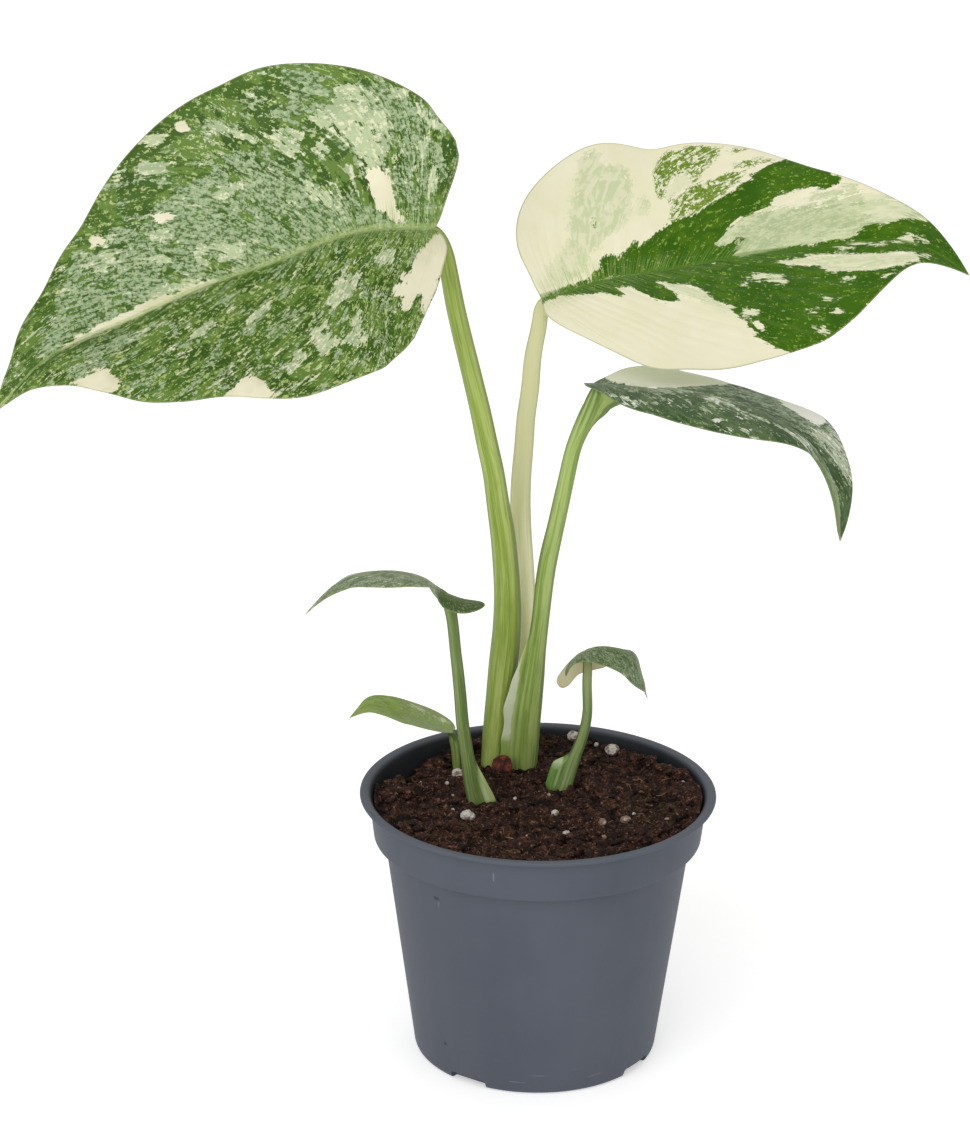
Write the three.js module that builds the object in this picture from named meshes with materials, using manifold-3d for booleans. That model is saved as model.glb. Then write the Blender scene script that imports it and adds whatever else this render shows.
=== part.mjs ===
// A potted creme brulee monstera: six leaf blades on their stalks, short stems at soil level, moist peat with
// perlite and one bark chip, in a thin-walled 12 cm nursery pot. Millimetres, +Z up, origin at the centre of the
// pot's underside, the viewer on the -Y side.
import * as THREE from 'three';
import Module from 'manifold-3d';

const wasm = await Module();
wasm.setup();

// ---- driving dimensions (mm) ----
const GAP = 0.35; // clearance kept between neighbouring pieces
const POT = {
  height: 93.35,
  lipOuter: 60.0,
  lipThick: 1.4,
  collarTop: 56.9, // outer radius of the collar under the lip
  collarBottom: 55.2,
  stepZ: 77.57, // height of the stacking step
  bodyTop: 51.7,
  foot: 41.2, // outer radius at the table
  wall: 1.25,
  floor: 1.6,
  notchHalfWidth: 7.0,
  notchHeight: 3.0,
  notchAngles: [-33, 57, 147, 237], // degrees from the front, positive towards +X
};
const SOIL = { middle: 88.4, bottom: 2.3 };
const BLADE = { thick: 0.8, thickSmall: 0.6, rib: 1.0 };

// ---- colours (sRGB) ----
const C = {
  pot: 0x575b66,
  soil: 0x3a2a22,
  green: 0x5d7f3a,
  cream: 0xd9d6ae,
  grey: 0x8fa389,
  lime: 0x8fb04a,
  stalk: 0x8aa352,
  pale: 0xc9cc9c,
  stem: 0x76854a,
  bark: 0x7a4a34,
  perlite: 0xe9e6de,
};

// ---- the plant, as measured: mid = midrib from the attachment to the tip; roll, ff, fn, cf, cn = tilt of the blade,
// fold and curl of its far (+) and near (-) half at the stations st; far, near = flat outline, x along the midrib and
// y across it; stalk, stalk_r = centre line and radius of the leaf stalk from the soil to the blade ----
const PLANT = {
  left_large: {
    mid: [[-35.7, 15, 283.7], [-61.8, 12, 282.7], [-86.1, 7.8, 274.2], [-110.5, 2.6, 266.3], [-133.9, -3.8, 256.8], [-157, -11.2, 247.4], [-174.3, -19.8, 231.2]],
    st: [0, 0.5, 1],
    roll: [49.6, 36.3, 30.5],
    ff: [26.8, 19.5, 11.1],
    fn: [18.3, 14.2, 9.9],
    cf: [0, 0, 0],
    cn: [-17.7, -15.5, -15.8],
    kl: 60,
    back: 0,
    far: [[0, 0], [-1.5, 3.5], [-3, 8.4], [-6.3, 19.1], [-6.8, 25.3], [-4, 30.9], [-0.1, 35.3], [3.1, 39.7], [8.9, 44.5], [17.6, 50.5], [23.9, 54.3], [29.7, 57.5], [35.5, 59.6], [45.7, 60.1], [62.2, 59.9], [72.8, 57], [82.2, 51.8], [92.6, 45.4], [105, 37.2], [115.4, 30.6], [124.9, 21.1], [133, 15.7], [142.8, 8.3], [151.2, 3.9], [155.9, 0]],
    near: [[0, 0], [-1.8, -3.2], [-3.3, -7.4], [-2.3, -15], [1, -27.5], [4.6, -35.9], [9.4, -45.5], [18.9, -52.3], [39.9, -56.9], [50.6, -57.8], [59.7, -58.1], [69.7, -55.8], [79.1, -52.7], [90.9, -47.8], [98.6, -45.1], [105.2, -41.4], [111.9, -36.4], [119, -29.8], [124.3, -25.2], [131.5, -18.2], [138.8, -11.3], [146.5, -4.6], [151.5, -2.2], [155.9, 0]],
    stalk: [[-15.7, 33.5, 87.8], [-15, 32.6, 98.3], [-13.8, 31.2, 113], [-12.4, 29.8, 128.3], [-11.3, 28.4, 143.4], [-11.4, 27.4, 154.7], [-12.2, 26.2, 167.3], [-13.3, 25.2, 177.6], [-14.7, 24.4, 186.8], [-16.3, 23.3, 198], [-18.4, 22.3, 208.1], [-20.4, 21.3, 218.2], [-22.6, 20.4, 228.1], [-24.9, 19.4, 238], [-27.2, 18.4, 247.8], [-29.3, 17.4, 257.6], [-30.6, 16.7, 264.9], [-31.8, 16, 272.1], [-33.1, 15.4, 277.6], [-34.8, 15, 281.7]],
    stalk_r: [4.33, 4.55, 4.67, 4.95, 4.75, 4.46, 4.31, 4.13, 3.85, 3.66, 3.59, 3.44, 3.3, 3.22, 3.18, 3.11, 3, 2.8, 2.47, 2.08],
  },
  right_large: {
    mid: [[-0.9, 40, 253.2], [22.6, 49.6, 257.9], [47.2, 57.1, 260.2], [71.7, 62.6, 263.9], [96.7, 66.2, 265.7], [121.7, 67.7, 266.9], [143.3, 67.2, 255.8]],
    st: [0, 0.5, 1],
    roll: [32.6, 24.9, 33.5],
    ff: [18, 10.1, 6.4],
    fn: [16.2, 8.4, 6.2],
    cf: [-2.3, -6, -9.7],
    cn: [-15.4, -18.6, -15.2],
    kl: 60,
    back: 0,
    far: [[0, 0], [-0.6, 4], [-0.6, 8.7], [-0.5, 19.2], [1.6, 25.6], [8.7, 35.5], [17.2, 42.9], [24.9, 48.6], [33.7, 53.6], [45.8, 54.5], [56.8, 51.9], [65, 52.6], [74.9, 51.1], [82.4, 48], [92.4, 42.5], [103.7, 34.6], [115.4, 25.1], [124.3, 18], [134, 12.6], [141.5, 8], [147.5, 3.6], [152.1, 0]],
    near: [[0, 0], [-1.4, -3.6], [-2.6, -7.8], [-1.3, -16.6], [4.1, -28.1], [10.5, -38.3], [18.6, -46.9], [34.1, -50.8], [47.8, -52.2], [60.2, -52.4], [76.3, -50.9], [88.1, -47.8], [99.4, -39.8], [107.9, -32.1], [121.1, -20.6], [130.8, -12.1], [138.5, -6.4], [145.5, -2.8], [152.1, 0]],
    stalk: [[-3.9, 41.5, 84.6], [-4.3, 41.4, 101.6], [-4.7, 41.3, 123.9], [-5.2, 41.2, 142.4], [-6.1, 41.1, 159.9], [-7, 41, 172.2], [-7.3, 40.9, 182.2], [-7, 40.9, 192.3], [-6.3, 40.8, 202.3], [-5.7, 40.7, 212.2], [-4.5, 40.7, 222.1], [-3.8, 40.6, 231.9], [-2.7, 40.6, 238.9], [-1.5, 40.5, 246.5], [-0.5, 40.5, 251.4]],
    stalk_r: [3.31, 3.47, 3.51, 3.63, 3.61, 3.6, 3.49, 3.35, 3.24, 3.16, 3.09, 2.95, 2.77, 2.6, 2.2],
  },
  right_drooping: {
    mid: [[15.9, 12, 232.3], [31.1, 7.1, 232.2], [46.1, 2.3, 232.2], [60.8, -2.3, 229.9], [74.9, -6.6, 225.6], [86.9, -10.8, 217.4], [93.8, -14.8, 204.7], [96.4, -18.5, 190.2]],
    st: [0, 0.5, 1],
    roll: [-7.5, -14.5, 9.5],
    ff: [10.1, 9.6, 21],
    fn: [14.8, 23.6, 33.4],
    cf: [-6.6, -9.3, -4.4],
    cn: [-22.2, -56.8, -19.8],
    kl: 35,
    back: 0,
    far: [[0, 0], [0.6, 3], [2.2, 9], [4.2, 18.6], [8.4, 28], [14.7, 34.6], [22.5, 37.3], [35.9, 37.3], [50.3, 38], [63, 34.2], [74, 28.4], [81, 21.2], [87.8, 14.6], [94.2, 10], [99.8, 6.3], [104.5, 3], [108.3, 0]],
    near: [[0, 0], [-2.5, -4], [-3.8, -10], [-1.5, -17], [4.5, -23.5], [11.5, -29.3], [21.4, -35], [29.2, -37.6], [37.9, -39], [49.6, -39], [59.7, -38], [68.3, -32.8], [74.8, -26.2], [79, -20.9], [84.5, -15.5], [90, -11.2], [97, -7.2], [103, -3.4], [108.3, 0]],
    stalk: [[-4.8, 32.5, 87.7], [-4.5, 31.3, 96.4], [-3.6, 29.4, 110.2], [-2.2, 27.5, 123.9], [-1, 25.8, 135.5], [0.2, 24.2, 147], [1.2, 22.5, 158.8], [2.6, 21, 169.4], [4.6, 19.5, 179.9], [6.5, 17.9, 190.3], [8.4, 16.4, 200.7], [10.6, 14.9, 211], [12.4, 14.1, 216.1], [14.7, 13.3, 221.9], [16.6, 12.5, 227], [17.5, 12, 230.2]],
    stalk_r: [4.15, 4.55, 4.46, 3.92, 3.26, 3.01, 3.09, 3.08, 2.9, 2.83, 2.72, 2.64, 2.8, 2.96, 2.95, 2.46],
  },
  left_small_upper: {
    mid: [[-31, 2, 163.1], [-38.8, 1.6, 167.3], [-47.2, 0.8, 169.7], [-55.9, -0.4, 170.2], [-64.2, -2.1, 168.6], [-71.3, -4.3, 164], [-77.1, -6.8, 158.2]],
    st: [-0.2, 0, 0.15, 0.5, 1],
    roll: [-4, -4, -6, -4, -6],
    ff: [-34, -16, -2, -9, -8],
    fn: [-8, -8, 14, 2, 2],
    cf: [-12, -14, -10, -14, -10],
    cn: [-26, -38, -22, -20, -9],
    kl: 13,
    back: -0.032,
    far: [[0, 0], [-3, 2.2], [-7.5, 3.2], [-10.4, 6], [-10, 9.6], [-6, 12.2], [0, 13.6], [7, 14.6], [14, 14], [23, 11.8], [32, 9.4], [40, 6.6], [46, 4], [50, 1.7], [52.6, 0]],
    near: [[0, 0], [-4, -0.8], [-8, -1.4], [-11.2, -3.2], [-12, -6], [-9.6, -8.8], [-5, -9.8], [0, -9.2], [4.4, -9.4], [9.4, -12.4], [16, -13.9], [24.3, -12.4], [33.1, -10.6], [40, -7.6], [46, -4.6], [50, -1.9], [52.6, 0]],
    stalk: [[-20.5, 2, 87.2], [-22.6, 2, 95.6], [-24.1, 2, 105.8], [-25.6, 2, 116.7], [-26.2, 2, 123.9], [-27.4, 2, 136.5], [-28, 2, 141.8], [-29.1, 2, 152.5], [-30.3, 2, 158.9]],
    stalk_r: [3.11, 2.63, 2.32, 2.18, 2.11, 1.97, 1.9, 1.89, 2.05],
  },
  left_small_lower: {
    mid: [[-29.7, 27, 103], [-36.7, 27.7, 105.7], [-43.9, 27.3, 107.9], [-51, 25.7, 110.8], [-58.2, 23, 113], [-64.4, 19.1, 110.6]],
    st: [0, 0.5, 1],
    roll: [6, 10.4, 16.3],
    ff: [5.9, 13.7, 6.8],
    fn: [12.3, 15.1, 2.2],
    cf: [-14.2, -10.1, -13.3],
    cn: [-14.3, -10.6, -14.8],
    kl: 9,
    back: 0,
    far: [[0, 0], [-0.6, 1.4], [0, 3.8], [1.6, 5.9], [5, 7.3], [9.5, 7.8], [15.3, 8], [20.5, 7.5], [25, 6.6], [29.2, 4.9], [33.1, 2.3], [36.4, 0.8], [38.8, 0]],
    near: [[0, 0], [-0.5, -1.4], [0.5, -4], [3.2, -6.4], [7.5, -7.9], [13.2, -8.2], [18.1, -7.7], [24, -6.2], [30.1, -4.2], [34.3, -2.4], [38.8, 0]],
    stalk: [[-28.1, 29.5, 88.2], [-28.5, 28.3, 94.7], [-29, 27.5, 99.1], [-29.7, 27, 101.7]],
    stalk_r: [1.35, 1.45, 1.58, 1.44],
  },
  right_small: {
    mid: [[15, 14, 138.5], [19.3, 12, 140.6], [24.3, 10.4, 140.9], [29.2, 9.3, 139.3], [33, 8.7, 133.3], [36.3, 8.5, 123.8]],
    st: [-0.35, 0, 0.3, 0.6, 1],
    roll: [-6, -6, 4, 7.8, 5.4],
    ff: [-40, -38, -26, -15, -5],
    fn: [-55, -10, -5, -1, 4],
    cf: [-30, -30, -20, -10, -10],
    cn: [-12, -8, -17, -14, -10],
    kl: 10,
    back: 0.012,
    far: [[0, 0], [-4, 1.6], [-9, 3], [-14, 3.6], [-17.4, 5.2], [-17.8, 7.8], [-15.4, 9.3], [-12.2, 8.9], [-9, 8.6], [-5, 9.6], [0, 10.6], [6, 10.4], [12, 9.4], [18, 7.5], [24, 4.6], [28.5, 1.8], [31.1, 0]],
    near: [[0, 0], [-2.5, -1.5], [-5.5, -3.2], [-7.8, -5.2], [-7.2, -7.6], [-4, -8.6], [0.2, -8.8], [4, -9.3], [9.5, -9.9], [15.1, -9.9], [19.2, -8.8], [23.2, -7], [28.2, -3.4], [31.1, 0]],
    stalk: [[8.4, 13.5, 86.7], [9.8, 13.5, 91.5], [11.4, 13.6, 96.7], [13.2, 13.7, 102.2], [14.9, 13.7, 107.4], [16, 13.8, 112.5], [16.4, 13.8, 117.6], [16.2, 13.9, 122.7], [16.1, 13.9, 129.2], [15.9, 14, 134.9]],
    stalk_r: [2.8, 2.52, 2.31, 2.04, 1.87, 1.76, 1.66, 1.65, 1.62, 1.48],
  },
};

// ---- small maths ----
const rad = (d) => (d * Math.PI) / 180;
const clamp = (x, a, b) => Math.min(b, Math.max(a, x));
const smooth = (a, b, x) => {
  const u = clamp((x - a) / (b - a), 0, 1);
  return u * u * (3 - 2 * u);
};
const V = (a) => new THREE.Vector3(a[0], a[1], a[2]);

// natural cubic spline through points of any dimension; f(t) and its slope
function natCubic(t, P) {
  const n = t.length, dim = P[0].length;
  const h = t.slice(1).map((v, i) => v - t[i]);
  const m = Array.from({ length: n }, () => new Array(dim).fill(0));
  const c = new Array(n).fill(0);
  for (let k = 0; k < dim; k++) {
    const d = new Array(n).fill(0);
    c[0] = 0;
    for (let i = 1; i < n - 1; i++) {
      const rhs = 6 * ((P[i + 1][k] - P[i][k]) / h[i] - (P[i][k] - P[i - 1][k]) / h[i - 1]);
      const w = 2 * (h[i - 1] + h[i]) - h[i - 1] * c[i - 1];
      c[i] = h[i] / w;
      d[i] = (rhs - h[i - 1] * d[i - 1]) / w;
    }
    for (let i = n - 2; i > 0; i--) m[i][k] = d[i] - c[i] * m[i + 1][k];
  }
  const seg = (x) => {
    let i = 0;
    while (i < n - 2 && x >= t[i + 1]) i++;
    return i;
  };
  return {
    at(x) {
      const i = seg(x), a = (t[i + 1] - x) / h[i], b = (x - t[i]) / h[i];
      return P[i].map((p, k) => a * p + b * P[i + 1][k] + (((a ** 3 - a) * m[i][k] + (b ** 3 - b) * m[i + 1][k]) * h[i] ** 2) / 6);
    },
    slope(x) {
      const i = seg(x), a = (t[i + 1] - x) / h[i], b = (x - t[i]) / h[i];
      return P[i].map((p, k) => (P[i + 1][k] - p) / h[i] + (((1 - 3 * a * a) * m[i][k] + (3 * b * b - 1) * m[i + 1][k]) * h[i]) / 6);
    },
  };
}

// monotone cubic through (t, v), held at its ends
function monotone(t, v) {
  const n = t.length;
  if (n === 1) return () => v[0];
  const h = t.slice(1).map((x, i) => x - t[i]);
  const s = h.map((x, i) => (v[i + 1] - v[i]) / x);
  const d = new Array(n).fill(0);
  for (let i = 1; i < n - 1; i++)
    if (s[i - 1] * s[i] > 0) {
      const w1 = 2 * h[i] + h[i - 1], w2 = h[i] + 2 * h[i - 1];
      d[i] = (w1 + w2) / (w1 / s[i - 1] + w2 / s[i]);
    }
  d[0] = s[0];
  d[n - 1] = s[n - 2];
  return (x) => {
    x = clamp(x, t[0], t[n - 1]);
    let i = 0;
    while (i < n - 2 && x >= t[i + 1]) i++;
    const u = (x - t[i]) / h[i];
    return (1 + 2 * u) * (1 - u) ** 2 * v[i] + u * (1 - u) ** 2 * h[i] * d[i] + u * u * (3 - 2 * u) * v[i + 1] + u * u * (u - 1) * h[i] * d[i + 1];
  };
}

const chord = (P) => {
  const t = [0];
  for (let i = 1; i < P.length; i++) t.push(t[i - 1] + Math.hypot(...P[i].map((p, k) => p - P[i - 1][k])));
  return t;
};

// ---- the leaf surface: flat leaf coordinates (x along the midrib, y across) to space ----
class Surface {
  constructor(d) {
    const t = chord(d.mid);
    this.c = natCubic(t, d.mid);
    this.tt = Array.from({ length: 401 }, (_, i) => (t[t.length - 1] * i) / 400);
    const Q = this.tt.map((x) => this.c.at(x));
    this.l = chord(Q);
    this.L = this.l[400];
    const p0 = V(d.mid[0]);
    const ch = V(this.c.at(t[t.length - 1] * 0.7)).sub(p0);
    this.A = ch.clone().cross(new THREE.Vector3(0, 0, 1)).normalize();
    if (this.A.y < 0) this.A.negate();
    this.ns = V(this.c.slope(0)).cross(this.A).z > 0 ? 1 : -1;
    this.roll = monotone(d.st, d.roll);
    this.ff = monotone(d.st, d.ff);
    this.fn = monotone(d.st, d.fn);
    this.cf = monotone(d.st, d.cf);
    this.cn = monotone(d.st, d.cn);
    this.kl = d.kl;
    this.back = d.back;
  }
  frame(x) {
    const xc = clamp(x, 0, this.L);
    let i = 0, j = 400;
    while (j - i > 1) {
      const m = (i + j) >> 1;
      if (this.l[m] <= xc) i = m;
      else j = m;
    }
    const q = this.tt[i] + ((this.tt[j] - this.tt[i]) * (xc - this.l[i])) / (this.l[j] - this.l[i]);
    const T = V(this.c.slope(q)).normalize();
    const P = V(this.c.at(q)).addScaledVector(T, x - xc);
    const L0 = this.A.clone().addScaledVector(T, -T.dot(this.A)).normalize();
    const N0 = T.clone().cross(L0).multiplyScalar(this.ns);
    const r = rad(this.roll(x / this.L));
    const L = L0.clone().multiplyScalar(Math.cos(r)).addScaledVector(N0, Math.sin(r));
    const N = N0.multiplyScalar(Math.cos(r)).addScaledVector(L0, -Math.sin(r));
    return { P, T, L, N };
  }
  at(x, y, side = Math.sign(y) || 1) {
    const { P, L, N } = this.frame(x);
    const u = x / this.L, a = Math.abs(y);
    const p = rad(side > 0 ? this.ff(u) : this.fn(u));
    let k = rad(side > 0 ? this.cf(u) : this.cn(u)) / this.kl;
    if (Math.abs(k) < 1e-6) k = 1e-6;
    const c = (Math.sin(p + k * a) - Math.sin(p)) / k;
    const h = (Math.cos(p) - Math.cos(p + k * a)) / k;
    const xb = Math.min(x, 0);
    return P.addScaledVector(L, side * c).addScaledVector(N, h - this.back * xb * xb);
  }
  normal(x, y) {
    const N = this.frame(x).N, e = 0.05, out = new THREE.Vector3();
    for (const s of Math.abs(y) < 0.01 ? [1, -1] : [Math.sign(y)]) {
      const a = Math.max(Math.abs(y), e);
      const gx = this.at(x + e, s * a, s).sub(this.at(x - e, s * a, s));
      const gy = this.at(x, s * (a + e), s).sub(this.at(x, s * (a - e), s));
      const n = gx.cross(gy).normalize();
      if (n.dot(N) < 0) n.negate();
      out.add(n);
    }
    return out.normalize();
  }
}

// ---- a blade: rows run from the midrib to the margin like its side veins, and fan out into the two basal lobes ----
function bladeGeometry(d, { rows, fan, cols, thick, rib, grow = 0 }) {
  const S = new Surface(d);
  const nodes = []; // [x, y] of every vertex of one skin
  const id = (x, y) => nodes.push([x, y]) - 1;
  const feet = Array.from({ length: rows + 1 }, (_, j) => S.L * (j / rows) ** 0.93);
  const midIds = feet.map((x) => id(x, 0));
  const tris = [], rims = {};
  for (const side of [1, -1]) {
    const pts = side > 0 ? d.far : d.near;
    const t = chord(pts), curve = natCubic(t, pts), total = t[t.length - 1];
    const N = 400;
    const B = Array.from({ length: N + 1 }, (_, i) => curve.at((total * i) / N));
    B[0] = [0, 0];
    B[N] = [S.L, 0];
    // foot on the midrib of the vein that ends at margin point i; up to s0 they all start at the attachment
    const a = B.map(([x, y]) => x - 0.35 * Math.abs(y));
    let s0 = 0;
    for (let i = 0; i < N / 2; i++) if (a[i] <= 0) s0 = i;
    for (let i = 0; i <= s0; i++) a[i] = 0;
    for (let i = s0 + 1; i < N; i++) a[i] = Math.max(a[i - 1] + 1e-3, a[i]);
    a[N] = S.L;
    const inverse = (x) => {
      let i = s0;
      while (i < N - 1 && a[i + 1] <= x) i++;
      return i + clamp((x - a[i]) / (a[i + 1] - a[i]), 0, 1);
    };
    const margin = (s) => curve.at((total * s) / N);
    const grid = [];
    const column = (foot, footId, s) => {
      const b = margin(s), ids = [footId];
      for (let c = 1; c <= cols; c++) {
        const u = (c / cols) ** 0.85;
        ids.push(id(foot + (b[0] - foot) * u, b[1] * u));
      }
      return ids;
    };
    for (let k = 1; k < fan; k++) grid.push(column(0, midIds[0], s0 * (k / fan) ** 1.0));
    for (let j = 0; j < rows; j++) grid.push(column(feet[j], midIds[j], inverse(feet[j])));
    grid.push(new Array(cols + 1).fill(midIds[rows]));
    const add = (p, q, r) => {
      if (p === q || q === r || p === r) return;
      tris.push(side > 0 ? [p, q, r] : [p, r, q]);
    };
    for (let r = 0; r + 1 < grid.length; r++)
      for (let c = 0; c < cols; c++) {
        const A = grid[r][c], D = grid[r][c + 1], E = grid[r + 1][c], G = grid[r + 1][c + 1];
        add(A, E, G);
        add(A, G, D);
      }
    rims[side] = [...grid[0], ...grid.slice(1).map((g) => g[cols])];
  }
  const ribAt = (x, y) => rib * (1 - 0.75 * clamp(x / S.L, 0, 1)) * Math.exp(-((y / 1.5) ** 2)) * (x < -0.5 ? 0 : 1);
  const pos = [];
  const top = nodes.map(([x, y]) => S.at(x, y).addScaledVector(S.normal(x, y), thick / 2 + grow));
  const bottom = nodes.map(([x, y]) => S.at(x, y).addScaledVector(S.normal(x, y), -thick / 2 - grow - ribAt(x, y)));
  for (const p of [...top, ...bottom]) pos.push(p.x, p.y, p.z);
  const n = nodes.length, index = [];
  for (const [p, q, r] of tris) index.push(p, q, r, n + p, n + r, n + q);
  // the thin edge all round: far rim from the sinus to the tip, then the near rim back
  const loop = [...rims[1], ...rims[-1].slice(0, -1).reverse()];
  loop.pop();
  for (let i = 0; i < loop.length; i++) {
    const p = loop[i], q = loop[(i + 1) % loop.length];
    index.push(p, q, n + q, p, n + q, n + p);
  }
  return closed(pos, index);
}

// ---- closed geometry with outward faces ----
function closed(pos, index) {
  let vol = 0;
  const v = (i) => new THREE.Vector3(pos[3 * i], pos[3 * i + 1], pos[3 * i + 2]);
  for (let i = 0; i < index.length; i += 3) vol += v(index[i]).dot(v(index[i + 1]).cross(v(index[i + 2])));
  if (vol < 0) for (let i = 0; i < index.length; i += 3) [index[i + 1], index[i + 2]] = [index[i + 2], index[i + 1]];
  const g = new THREE.BufferGeometry();
  g.setAttribute('position', new THREE.Float32BufferAttribute(pos, 3));
  g.setIndex(index);
  return g;
}

function weld(g) {
  const p = g.attributes.position, map = new Map(), pos = [], remap = [];
  for (let i = 0; i < p.count; i++) {
    const key = [p.getX(i), p.getY(i), p.getZ(i)].map((x) => Math.round(x * 1e4)).join();
    if (!map.has(key)) {
      map.set(key, pos.length / 3);
      pos.push(p.getX(i), p.getY(i), p.getZ(i));
    }
    remap.push(map.get(key));
  }
  const src = g.index ? [...g.index.array] : remap.map((_, i) => i);
  const index = [];
  for (let i = 0; i < src.length; i += 3) {
    const [a, b, c] = [remap[src[i]], remap[src[i + 1]], remap[src[i + 2]]];
    if (a !== b && b !== c && a !== c) index.push(a, b, c);
  }
  return closed(pos, index);
}

const solid = (g) => {
  const w = weld(g);
  return new wasm.Manifold(new wasm.Mesh({ numProp: 3, vertProperties: new Float32Array(w.attributes.position.array), triVerts: new Uint32Array(w.index.array) }));
};
const fromSolid = (m) => {
  const r = m.simplify(0.01).getMesh();
  const g = new THREE.BufferGeometry();
  g.setAttribute('position', new THREE.Float32BufferAttribute(Array.from(r.vertProperties), 3));
  g.setIndex(Array.from(r.triVerts));
  return g;
};

// ---- a stalk: round section along its centre line, with a thin sheath wing where it has one ----
// wing: { angle, to, tip, z0, z1, reach(z) } in world degrees about the stalk's own centre
function stalkGeometry(path, radii, { sides = 8, step = 12, grow = 0, wing = null, z0 = null }) {
  const t = chord(path), c = natCubic(t, path), R = monotone(t, radii), total = t[t.length - 1];
  const n = Math.max(4, Math.round(total / step));
  const rings = [];
  for (let i = 0; i <= n; i++) {
    const s = (total * i) / n, P = V(c.at(s)), T = V(c.slope(s)).normalize();
    const e1 = new THREE.Vector3(1, 0, 0).addScaledVector(T, -T.x).normalize();
    rings.push({ P, e1, e2: T.clone().cross(e1), T, r: R(s) + grow });
  }
  const base = Array.from({ length: sides }, (_, k) => (360 * k) / sides);
  let angles = base;
  if (wing) angles = base.filter((a) => Math.abs(((a - wing.angle + 540) % 360) - 180) > wing.half + 6).concat([wing.angle - wing.half, wing.angle, wing.angle + wing.half]);
  angles = angles.map((a) => (a + 360) % 360).sort((a, b) => a - b);
  if (grow > 0) {
    rings[0].P.addScaledVector(rings[0].T, -grow);
    rings[n].P.addScaledVector(rings[n].T, grow);
  }
  const pos = [], m = angles.length;
  for (const g of rings)
    for (const a of angles) {
      let r = g.r;
      if (wing && Math.abs(a - ((wing.angle + 360) % 360)) < 0.01) r += wing.reach(g.P.z);
      const p = g.P.clone().addScaledVector(g.e1, r * Math.cos(rad(a))).addScaledVector(g.e2, r * Math.sin(rad(a)));
      pos.push(p.x, p.y, p.z);
    }
  const index = [];
  for (let i = 0; i < n; i++)
    for (let k = 0; k < m; k++) {
      const a = i * m + k, b = i * m + ((k + 1) % m);
      index.push(a, b, b + m, a, b + m, a + m);
    }
  const lo = pos.length / 3;
  pos.push(rings[0].P.x, rings[0].P.y, rings[0].P.z, rings[n].P.x, rings[n].P.y, rings[n].P.z);
  for (let k = 0; k < m; k++) index.push(lo, (k + 1) % m, k, lo + 1, n * m + k, n * m + ((k + 1) % m));
  return closed(pos, index);
}

const WINGS = {
  right_drooping: { angle: 203, half: 13, reach: (z) => 6.6 * smooth(126, 110, z) * smooth(95, 101, z) },
  left_small_upper: { angle: -14, half: 26, reach: (z) => 3.2 * smooth(106, 90, z) },
  right_small: { angle: 188, half: 30, reach: (z) => 3.9 * smooth(101, 95, z) * smooth(84, 89, z) },
};

// ---- stems: short, buried just under the soil surface, the stalks stand on them ----
const STEMS = {
  main: { at: [-9.2, 35.6], r: 9.0, bottom: 64, top: 84.6 },
  left: { at: [-20.6, 2.0], r: 4.0, bottom: 73, top: 84.8 },
  rear_left: { at: [-28.1, 29.5], r: 2.9, bottom: 75, top: 84.8 },
  right: { at: [8.4, 13.5], r: 3.9, bottom: 73, top: 84.4 },
};
const DROP = { left_small_upper: 1.2, right_small: 1.4 }; // how much lower a stalk ends under a blade whose halves hang
const STANDS_ON = { left_large: 'main', right_large: 'main', right_drooping: 'main', left_small_upper: 'left', left_small_lower: 'rear_left', right_small: 'right' };

const zLathe = (pts, segs) => {
  const g = new THREE.LatheGeometry(pts.map(([r, z]) => new THREE.Vector2(r, z)), segs);
  g.rotateX(Math.PI / 2);
  return weld(g);
};
const stemGeometry = (s, grow = 0) => {
  const g = zLathe(
    [[0, s.bottom - grow], [s.r * 0.55 + grow, s.bottom - grow], [s.r * 0.9 + grow, s.bottom + 4], [s.r + grow, s.top - 3], [s.r * 0.93 + grow, s.top + grow], [0, s.top + grow]],
    14
  );
  g.translate(s.at[0], s.at[1], 0);
  return g;
};

// ---- pot ----
const potInner = (grow = 0) => {
  // inside profile from the floor up, moved inwards by grow
  const w = POT.wall + grow;
  return [
    [POT.foot - w - 1.0, POT.floor + grow],
    [POT.foot - w + 0.25, POT.floor + grow + 1.2],
    [POT.bodyTop - w, POT.stepZ + POT.wall + grow],
    [POT.collarBottom - w, POT.stepZ + POT.wall + grow],
    [POT.collarTop - w, POT.height],
  ];
};
function potGeometry() {
  const inner = potInner();
  const outer = [
    [0, 0],
    [POT.foot - 1.6, 0],
    [POT.foot - 0.4, 0.5],
    [POT.foot + 0.15, 1.8],
    [POT.bodyTop, POT.stepZ],
    [POT.collarBottom, POT.stepZ],
    [POT.collarTop, POT.height - POT.lipThick],
    [POT.lipOuter - 0.3, POT.height - POT.lipThick],
    [POT.lipOuter, POT.height - POT.lipThick + 0.4],
    [POT.lipOuter - 0.1, POT.height - 0.3],
    [POT.lipOuter - 0.6, POT.height],
  ];
  const profile = [...outer, ...inner.slice().reverse(), [0, POT.floor]];
  let body = solid(zLathe(profile, 48));
  for (const a of POT.notchAngles) {
    const g = new THREE.BoxGeometry(POT.notchHalfWidth * 2, 6, POT.notchHeight * 2);
    g.translate(0, -(POT.foot - 1.0), 0);
    g.rotateZ(rad(a));
    body = body.subtract(solid(g));
  }
  return fromSolid(body);
}

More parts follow.
